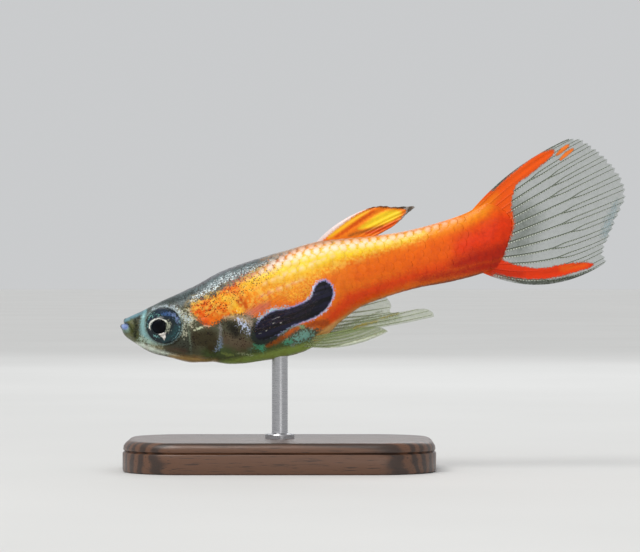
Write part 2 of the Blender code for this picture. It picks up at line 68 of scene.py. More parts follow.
def new_finish(name, constants):
    """A material with one Principled shader, whose plain numbers are set on its own sockets."""
    finish = bpy.data.materials.new(name)
    finish.use_nodes = True
    shader = finish.node_tree.nodes["Principled BSDF"]
    for key, value in constants.items():
        shader.inputs[key].default_value = value
    return finish, finish.node_tree, shader


def mix_colours(tree, factor, first, second):
    mixed = add_node(tree, "Mix", {0: factor, 6: first, 7: second}, data_type="RGBA")
    return mixed.outputs[2]


def fade(tree, value, low, high, to_low=0.0, to_high=1.0):
    """Runs smoothly from to_low to to_high as the value goes from low to high."""
    ramp = add_node(tree, "MapRange", {0: value, 1: low, 2: high, 3: to_low, 4: to_high},
                    interpolation_type="SMOOTHSTEP")
    return ramp.outputs[0]


def millimetre_place(tree, stretch=(1.0, 1.0, 1.0)):
    """The place on the piece in its own axes, in millimetres, stretched for grain that runs one way."""
    place = add_node(tree, "TexCoord").outputs["Object"]
    scale = tuple(share / MM for share in stretch)
    return add_node(tree, "Mapping", {"Vector": place, "Scale": scale}).outputs[0]


def noise(tree, place, per_mm, detail=3.0, roughness=0.55):
    made = add_node(tree, "TexNoise", {"Vector": place, "Scale": per_mm, "Detail": detail,
                                       "Roughness": roughness})
    return made.outputs[0]


def box_light(name, place, target, size, watts, colour):
    """A soft rectangular lamp at a place, turned to a target, both in millimetres."""
    lamp = bpy.data.lights.new(name, "AREA")
    lamp.shape = "RECTANGLE"
    lamp.size, lamp.size_y = (side * MM for side in size)
    lamp.energy = watts
    lamp.color = colour
    light = bpy.data.objects.new(name, lamp)
    light.location = Vector(place) * MM
    light.rotation_euler = (Vector(target) - Vector(place)).to_track_quat("-Z", "Y").to_euler()
    bpy.context.scene.collection.objects.link(light)


box_light("soft_box_above", (-60, -90, 170), (0, 0, 9), (110, 70), 0.085, (1.0, 0.98, 0.95))
box_light("soft_box_front", (60, -240, 60), (0, 0, 9), (100, 100), 0.035, (1.0, 0.99, 0.97))
box_light("soft_box_behind", (40, 210, 130), (0, 0, 9), (160, 100), 0.09, (0.96, 0.98, 1.0))
sun_lamp = bpy.data.lights.new("soft_sun", "SUN")
sun_lamp.energy, sun_lamp.angle, sun_lamp.color = 1.15, math.radians(40), (1.0, 0.985, 0.96)
sun = bpy.data.objects.new("soft_sun", sun_lamp)
sun.rotation_euler = Vector((0.45, 0.55, -1.0)).to_track_quat("-Z", "Y").to_euler()
bpy.context.scene.collection.objects.link(sun)

surround = bpy.data.worlds.new("surround")
surround.use_nodes = True
surround.node_tree.nodes["Background"].inputs["Color"].default_value = (0.95, 0.965, 0.98, 1)
surround.node_tree.nodes["Background"].inputs["Strength"].default_value = 0.62
bpy.context.scene.world = surround
bpy.context.scene.view_settings.view_transform = "Standard"

lens = bpy.data.cameras.new("camera")
lens.lens, lens.sensor_width = LENS, SENSOR
lens.clip_start, lens.clip_end = 0.01, 10
camera = bpy.data.objects.new("camera", lens)
camera.location = (VIEW_MIDDLE[0] * MM, -VIEW_WIDTH * LENS / SENSOR * MM, VIEW_MIDDLE[1] * MM)
camera.rotation_euler = (math.pi / 2, 0, 0)
bpy.context.scene.collection.objects.link(camera)
bpy.context.scene.camera = camera

floor_mesh = bpy.data.meshes.new("floor")
floor_mesh.from_pydata([(x * FLOOR_HALF * MM, y * FLOOR_HALF * MM, 0)
                        for x, y in ((-1, -1), (1, -1), (1, 1), (-1, 1))], [], [(0, 1, 2, 3)])
floor = bpy.data.objects.new("floor", floor_mesh)
bpy.context.scene.collection.objects.link(floor)
floor_finish, floor_tree, floor_shader = new_finish("pale_floor", {"Roughness": 0.85})
floor_tone = fade(floor_tree, noise(floor_tree, millimetre_place(floor_tree), 0.02), 0.3, 0.7)
floor_tree.links.new(mix_colours(floor_tree, floor_tone, (0.64, 0.64, 0.63, 1), (0.67, 0.67, 0.66, 1)),
                     floor_shader.inputs["Base Color"])
floor_mesh.materials.append(floor_finish)

# Body. A slender fish a little deeper than wide, thickest in front of the fins, with an upturned
# mouth and a long tail stalk. The outlines hold for the skin, the scales and the roots of the fins.
HEAD_DOWN_DEG = 13.6
ROD_STATION, SNOUT_HEIGHT = 8.5, 8.2
TAIL_SWAY, SWAY_START, SWAY_END = 1.3, 9.0, 30.0
BACK = [(0, -0.06), (0.12, 0.27), (0.5, 0.5), (1.3, 0.67), (2.6, 0.97), (4.0, 1.24), (5.1, 1.52),
        (6.3, 1.83), (8.2, 2.05), (10.6, 2.16), (12.1, 2.22), (13.6, 2.05), (15.3, 1.79), (17.2, 1.62),
        (19.4, 1.66), (20.2, 1.72), (21.0, 1.83), (21.7, 1.97), (22.3, 2.08), (23.4, 2.08)]
BELLY = [(0, -0.16), (0.12, -0.53), (0.5, -0.97), (1.3, -1.75), (2.4, -2.34), (3.4, -2.86),
         (4.4, -3.08), (5.6, -3.55), (7.4, -3.79), (9.0, -3.87), (10.3, -3.75), (11.1, -3.46),
         (12.4, -2.66), (13.7, -2.1), (15.2, -1.88), (17.2, -1.79), (19.2, -1.9), (20.8, -1.88),
         (22.0, -1.74), (23.4, -1.5)]
HALF_WIDTH = [(0, 0.0), (0.12, 0.42), (0.5, 0.66), (1.3, 0.98), (2.4, 1.36), (3.8, 1.56), (5.4, 1.66),
              (7.6, 1.7), (9.4, 1.62), (11.1, 1.4), (12.6, 1.17), (14.2, 1.0), (16.4, 0.88),
              (18.6, 0.78), (20.4, 0.66), (21.5, 0.52), (22.4, 0.4), (23.4, 0.3)]
WIDEST_AT = [(0, -0.1), (0.5, -0.2), (2.4, -0.5), (5.0, -0.85), (8.0, -1.0), (11.0, -0.75), (14.0, -0.1),
             (18.0, -0.08), (23.4, 0.0)]
BOXY_ABOVE = [(0, 2.2), (2.5, 2.7), (4.5, 2.4), (7.0, 2.15), (23.4, 2.0)]
BOXY_BELOW = 2.1
TAIL_END = [(-1.9, 21.7), (-1.2, 22.4), (-0.3, 23.0), (0.6, 23.4), (1.3, 23.2), (1.75, 22.8), (2.1, 22.4)]
TAIL_FROM = 19.6


def smooth_through(points, at, root_scale=False):
    """Reads a smooth curve through (distance, value) points. root_scale rounds it at the snout."""
    xs, ys = np.array(points, float).T
    at = np.clip(at, xs[0], xs[-1])
    if root_scale:
        xs, at = np.sqrt(xs), np.sqrt(at)
    slopes = np.gradient(ys, xs)
    i = np.clip(np.searchsorted(xs, at) - 1, 0, len(xs) - 2)
    span = xs[i + 1] - xs[i]
    t = (at - xs[i]) / span
    return (ys[i] * (1 + 2 * t) * (1 - t) ** 2 + slopes[i] * span * t * (1 - t) ** 2
            + ys[i + 1] * t * t * (3 - 2 * t) + slopes[i + 1] * span * t * t * (t - 1))


def section(x):
    """Back, belly, widest height, half width and upper boxiness of the body at a distance."""
    return [smooth_through(line, x, True) for line in (BACK, BELLY, WIDEST_AT, HALF_WIDTH, BOXY_ABOVE)]


def body_points(x, turn):
    """Points on the body at distances x and turns round it: 0 at the back, 0.5 at the belly."""
    back, belly, widest, half_width, boxy_above = section(x)
    up, side = np.cos(2 * math.pi * turn), np.sin(2 * math.pi * turn)
    boxy = np.where(up > 0, boxy_above, BOXY_BELOW)
    reach = np.where(up > 0, back - widest, widest - belly)
    z = widest + reach * np.sign(up) * np.abs(up) ** (2 / boxy)
    y = half_width * np.sign(side) * np.abs(side) ** (2 / boxy)
    return np.stack([x + 0 * z, y, z], -1)


def flank_y(x, z):
    """How far the body's surface lies from the fish's middle plane, at a place seen from the side."""
    back, belly, widest, half_width, boxy_above = section(x)
    boxy = np.where(z > widest, boxy_above, BOXY_BELOW)
    reach = np.where(z > widest, back - widest, widest - belly)
    level = np.clip(np.abs(z - widest) / reach, 0, 0.995)
    return half_width * (1 - level ** boxy) ** (1 / boxy)


def sway(x):
    """The tail's gentle swing to the fish's left."""
    t = np.clip((x - SWAY_START) / (SWAY_END - SWAY_START), 0, 1)
    return -TAIL_SWAY * t ** 1.6


def ease(value, low, high):
    t = np.clip((value - low) / (high - low), 0, 1)
    return t * t * (3 - 2 * t)


def stroke_field(x, z, stroke):
    """How far inside a tapered stroke of (x, z, half width) points each place lies, in millimetres."""
    inside = np.full(np.shape(x), -99.0)
    for (x0, z0, r0), (x1, z1, r1) in zip(stroke, stroke[1:]):
        run = (x1 - x0) ** 2 + (z1 - z0) ** 2
        t = np.clip(((x - x0) * (x1 - x0) + (z - z0) * (z1 - z0)) / run, 0, 1)
        away = np.hypot(x - x0 - t * (x1 - x0), z - z0 - t * (z1 - z0))
        inside = np.maximum(inside, r0 + (r1 - r0) * t - away)
    return inside


def area_field(x, z, outline):
    """How far inside a closed outline each place lies, in millimetres, and below 0 outside it."""
    away = np.full(np.shape(x), 99.0)
    crossings = np.zeros(np.shape(x), int)
    for (x0, z0), (x1, z1) in zip(outline, outline[1:] + outline[:1]):
        run = (x1 - x0) ** 2 + (z1 - z0) ** 2
        t = np.clip(((x - x0) * (x1 - x0) + (z - z0) * (z1 - z0)) / run, 0, 1)
        away = np.minimum(away, np.hypot(x - x0 - t * (x1 - x0), z - z0 - t * (z1 - z0)))
        straddles = (z0 > z) != (z1 > z)
        with np.errstate(divide="ignore", invalid="ignore"):
            crossings += straddles & (x < x0 + (z - z0) / (z1 - z0) * (x1 - x0))
    return np.where(crossings % 2 == 1, away, -away)


def rounded_outline(outline, cuts=2):
    """Rounds a closed outline by cutting each corner a few times."""
    points = np.array(outline, float)
    for _ in range(cuts):
        following = np.roll(points, -1, axis=0)
        points = np.concatenate([0.75 * points + 0.25 * following, 0.25 * points + 0.75 * following],
                                1).reshape(-1, 2)
    return [tuple(p) for p in points]


rod_belly = float(smooth_through(BELLY, ROD_STATION, True))
pitch = math.radians(HEAD_DOWN_DEG)
snout_x = -(ROD_STATION * math.cos(pitch) - rod_belly * math.sin(pitch))
FISH_POSE = Matrix.Translation((snout_x * MM, 0, SNOUT_HEIGHT * MM)) @ Matrix.Rotation(-pitch, 4, "Y")


def place_piece(name, points, faces, replaced=(), in_pose=True):
    """Makes a mesh from points in millimetres, sets it in place, and says what it rides on and replaces."""
    points = np.asarray(points, float) * MM
    if in_pose:
        points = points @ np.array(FISH_POSE.to_3x3()).T + np.array(FISH_POSE.translation)
    mesh = bpy.data.meshes.new(name)
    mesh.vertices.add(len(points))
    mesh.vertices.foreach_set("co", points.ravel())
    sizes = np.array([len(face) for face in faces])
    mesh.loops.add(int(sizes.sum()))
    mesh.loops.foreach_set("vertex_index", np.concatenate([np.asarray(face) for face in faces]))
    mesh.polygons.add(len(faces))
    mesh.polygons.foreach_set("loop_start", np.concatenate([[0], np.cumsum(sizes)[:-1]]))
    mesh.update(calc_edges=True)
    mesh.validate()
    mesh.shade_smooth()
    piece = bpy.data.objects.new(name, mesh)
    bpy.context.scene.collection.objects.link(piece)
    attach(piece, "root")
    if replaced:
        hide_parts(*replaced)
    return piece


def swayed(points):
    """The points moved with the swing of the tail."""
    points = np.array(points, float)
    points[..., 1] += sway(points[..., 0])
    return points


def tube_faces(rings, around, first=0):
    """Faces between rings of points, each ring closed on itself."""
    r, i = np.meshgrid(np.arange(rings - 1), np.arange(around), indexing="ij")
    a, b = r * around + i, r * around + (i + 1) % around
    return first + np.stack([a, b, b + around, a + around], -1).reshape(-1, 4)


def fan_faces(first, around, centre, turned=False):
    """Faces between a ring of points and the point in its middle."""
    i = np.arange(around)
    a, b = first + i, first + (i + 1) % around
    return np.stack([b, a, 0 * i + centre] if turned else [a, b, 0 * i + centre], -1)


# Skin. One soft, wet hide covers the head, the jaw, the gill covers, the trunk and the tail stalk with
# no seam. It has the lips, nostrils, eye sockets and gill plates in relief, and thins out at the tail.
EYE_AT, EYE_RADIUS, SOCKET_DEPTH = (2.47, -0.43), 1.0, 0.5
EYE_LIP_AT, EYE_LIP_RISE, EYE_LIP_WIDTH = 1.09, 0.05, 0.07
EYE_MOAT_AT, EYE_MOAT_DEPTH, EYE_MOAT_WIDTH = 1.25, 0.03, 0.08
NOSTRIL_AT, NOSTRIL_RADIUS, NOSTRIL_DEPTH = (1.12, 0.36), 0.085, 0.13
NOSTRIL_LIP_AT, NOSTRIL_LIP_RISE, NOSTRIL_LIP_WIDTH = 0.14, 0.03, 0.05
MOUTH_LINE = [(-0.1, 0.3, 0), (0.22, 0.27, 0), (0.42, 0.1, 0), (0.54, -0.12, 0), (0.62, -0.42, 0)]
LIP_BALL_AT, LIP_BALL_RISE, LIP_BALL_WIDTH = (0.2, -0.04), 0.07, 0.2
LIP_RISE, LIP_AWAY, LIP_WIDTH, LIPS_END = 0.075, 0.19, 0.11, (1.0, 0.75)
CLEFT_DEPTH, CLEFT_WIDTH = 0.13, 0.05
GILL_PLATE = [(3.66, -0.42), (4.62, -0.46), (5.25, -0.72), (5.52, -1.25), (5.6, -1.8), (5.45, -2.3),
              (5.05, -2.7), (4.35, -2.95), (3.7, -2.7), (3.45, -1.9)]
GILL_PLATE_RISE, PLATE_EDGE, PLATE_RISES = 0.075, (-0.01, 0.09), (3.5, 4.6)
GILL_SLIT_DEPTH, GILL_SLIT_AWAY, GILL_SLIT_WIDTH, GILL_SLIT_FROM = 0.05, 0.07, 0.06, (4.6, 5.2)
CHEEK_GROOVE = [(3.95, -0.35, 0), (3.84, -0.9, 0), (3.74, -1.5, 0), (3.6, -2.3, 0)]
THROAT_FOLD = [(1.7, -1.72, 0), (2.5, -2.12, 0), (3.5, -2.6, 0), (4.6, -2.92, 0)]
BROW = [(1.5, 0.25, 0), (2.3, 0.66, 0), (3.2, 0.5, 0), (3.7, 0.0, 0)]
FIN_BASE = [(7.2, -1.1, 0), (7.2, -1.75, 0)]
# Each groove or fold: its line, how far it stands out, how far beside the line it lies and its width
FOLDS = [(CHEEK_GROOVE, -0.035, 0.0, 0.06), (CHEEK_GROOVE, 0.02, 0.14, 0.07),
         (THROAT_FOLD, -0.045, 0.0, 0.07), (THROAT_FOLD, 0.03, 0.15, 0.1),
         (BROW, 0.03, 0.0, 0.12), (FIN_BASE, 0.09, 0.0, 0.22)]
# The skin lies this deep under the scales, from the first stretch to the second
COAT_DEPTH, COAT_BEGINS, COAT_STOPS = 0.05, (4.3, 4.7), (21.8, 20.4)
SKIN_AROUND, END_RINGS, SNOUT_START = 220, 45, 0.0015
# Shares of the way to the skin's rear edge between which it thins to that edge
TAIL_THINS = (0.48, 1.02)


def bump(away, width):
    """A soft swelling, 1 at its line and nothing a few widths away from it."""
    return np.exp(-(away / width) ** 2)


def relief(x, z):
    """How far the skin stands out from the plain body, in millimetres, at places seen from the side."""
    from_mouth = -stroke_field(x, z, MOUTH_LINE)
    rise = LIP_RISE * bump(from_mouth - LIP_AWAY, LIP_WIDTH) * ease(x, *LIPS_END)
    from_lip_ball = np.hypot(x - LIP_BALL_AT[0], z - LIP_BALL_AT[1])
    rise += LIP_BALL_RISE * bump(from_lip_ball, LIP_BALL_WIDTH)
    rise -= CLEFT_DEPTH * bump(from_mouth, CLEFT_WIDTH)
    from_eye = np.hypot(x - EYE_AT[0], z - EYE_AT[1])
    rise -= SOCKET_DEPTH * ease(from_eye, EYE_RADIUS + 0.01, EYE_RADIUS - 0.1)
    rise += EYE_LIP_RISE * bump(from_eye - EYE_LIP_AT, EYE_LIP_WIDTH)
    rise -= EYE_MOAT_DEPTH * bump(from_eye - EYE_MOAT_AT, EYE_MOAT_WIDTH)
    from_nostril = np.hypot(x - NOSTRIL_AT[0], z - NOSTRIL_AT[1])
    rise += NOSTRIL_LIP_RISE * bump(from_nostril - NOSTRIL_LIP_AT, NOSTRIL_LIP_WIDTH)
    rise -= NOSTRIL_DEPTH * bump(from_nostril, NOSTRIL_RADIUS)
    on_plate = area_field(x, z, rounded_outline(GILL_PLATE))
    rise += GILL_PLATE_RISE * ease(on_plate, *PLATE_EDGE) * ease(x, *PLATE_RISES)
    in_slit = bump(on_plate + GILL_SLIT_AWAY, GILL_SLIT_WIDTH)
    rise -= GILL_SLIT_DEPTH * in_slit * ease(x, *GILL_SLIT_FROM)
    for line, height, beside, width in FOLDS:
        rise += height * bump(stroke_field(x, z, line) + beside, width)
    return rise - COAT_DEPTH * ease(x, *COAT_BEGINS) * ease(x, *COAT_STOPS)


# The rings of points lie closest at the snout and close on the head, where the relief is
skin_stations = np.concatenate([np.linspace(0.0, 1.06, 54) ** 2, np.linspace(1.16, 6.2, 118),
                                np.linspace(6.3, TAIL_FROM, 100)])
turns = np.arange(SKIN_AROUND) / SKIN_AROUND
skin_x = skin_stations[:, None] + 0 * turns[None, :]
end_x = smooth_through(TAIL_END, body_points(np.full(SKIN_AROUND, 22.4), turns)[:, 2])
shares = np.linspace(0, 1, END_RINGS + 1)[1:, None] ** 0.8
skin_x = np.concatenate([skin_x, TAIL_FROM + (end_x[None, :] - TAIL_FROM) * shares])
skin_points = body_points(np.maximum(skin_x, SNOUT_START), turns[None, :] + 0 * skin_x)
to_end = np.clip((skin_x - TAIL_FROM) / (end_x[None, :] - TAIL_FROM), 0, 1)
skin_points[..., 1] *= np.sqrt(np.clip(1 - ease(to_end, *TAIL_THINS) ** 2, 0, 1))
along_skin = np.gradient(skin_points, axis=0)
round_skin = np.roll(skin_points, -1, axis=1) - np.roll(skin_points, 1, axis=1)
skin_normals = np.cross(along_skin, round_skin)
skin_normals /= np.maximum(np.linalg.norm(skin_normals, axis=-1, keepdims=True), 1e-9)
skin_rise = relief(skin_points[..., 0], skin_points[..., 2])
skin_points += skin_normals * (skin_rise * ease(skin_x, 0.0, 0.05))[..., None]
skin_rings = len(skin_points)
flat_skin = skin_points.reshape(-1, 3)
snout_tip, tail_tip = skin_points[0].mean(0), skin_points[-1].mean(0)
skin_faces = list(tube_faces(skin_rings, SKIN_AROUND)[:, ::-1])
skin_faces += list(fan_faces(0, SKIN_AROUND, len(flat_skin)))
skin_faces += list(fan_faces(len(flat_skin) - SKIN_AROUND, SKIN_AROUND, len(flat_skin) + 1, turned=True))
flat_skin = np.concatenate([flat_skin, [snout_tip, tail_tip]])
skin = place_piece("skin", swayed(flat_skin), skin_faces,
                   ["head", "lower_jaw", "gill_cover_left", "gill_cover_right", "trunk", "tail_stalk"])

# Markings. The pigments lie in the skin and in the scales alike: black freckles and silver flecks on
# the head and nape, an orange flank that yellows above and reddens towards the tail, and a black comma
# with a blue rim behind the fin. Some marks are painted light and shade instead: the ones named shade,
# sheen and gleam, painted shade at the mouth's corner, and painted highlights along the snout, on the
# pectoral rays over the comma, on the eyes and on the scales. Each is a tapered stroke (x, z, half
# width) or an outline (x, z).
GROUND_COLOUR = (84, 84, 64)
GRAIN_PER_MM = 10.0
COMMA = [(7.5, -1.75), (7.45, -2.45), (7.9, -2.66), (8.71, -2.5), (9.61, -2.17), (10.34, -2.09),
         (11.09, -2.01), (11.65, -1.78), (12.1, -1.42), (12.43, -0.95), (12.42, -0.45), (12.15, -0.1),
         (11.8, -0.07), (11.43, -0.32), (11.1, -0.93), (10.4, -1.11), (9.6, -1.16), (8.7, -1.06),
         (8.1, -1.33)]
# Painted highlights: short pale dashes where the pectoral fin's rays catch the light over the comma
COMMA_RAY_HIGHLIGHTS = [(7.6, -1.93), (7.66, -2.18), (8.05, -2.1), (8.55, -1.55), (8.85, -1.5), (8.5, -1.78),
                (8.9, -1.86)]
ORANGE_FLANK = [(4.56, -0.5), (4.25, -0.1), (4.3, 0.28), (5.15, 0.46), (5.84, 0.55), (6.28, 0.85),
                (6.95, 0.96), (7.67, 1.15), (8.6, 1.38), (9.6, 1.66), (10.6, 2.1), (11.4, 2.3), (13.0, 2.3),
                (14.7, 2.1), (17.1, 1.9), (19.5, 1.9), (21.9, 2.3), (23.3, 2.6), (24.6, 1.8), (24.2, -0.4),
                (22.1, -2.3), (19.75, -2.2), (18.0, -2.0), (16.2, -2.1), (14.3, -2.4), (12.6, -3.1),
                (11.5, -2.9), (10.1, -2.33), (8.4, -1.86), (7.5, -0.97), (6.6, -0.71), (6.0, -0.85),
                (5.2, -1.07), (4.7, -0.78)]
EYE_EDGE = [(EYE_AT[0] + EYE_LIP_AT * math.cos(turn), EYE_AT[1] + EYE_LIP_AT * math.sin(turn), 0.03)
            for turn in np.linspace(0, 2 * math.pi, 25)]


def pigment(red, green, blue):
    """A colour in 0 to 255 steps, as a linear colour."""
    steps = np.array([red, green, blue]) / 255
    linear = np.where(steps <= 0.04045, steps / 12.92, ((steps + 0.055) / 1.055) ** 2.4)
    return (*linear, 1.0)


def marking(name, colour, fade_mm, grain, shapes, metal=0.0, grow=0.0, cover=1.0, streaks=None):
    """One marking: its pigment, how far its edge fades, how ragged it is, and how much it covers."""
    return {"name": name, "colour": pigment(*colour), "fade": fade_mm, "grain": grain, "shapes": shapes,
            "metal": metal, "grow": grow, "cover": cover, "streaks": streaks}


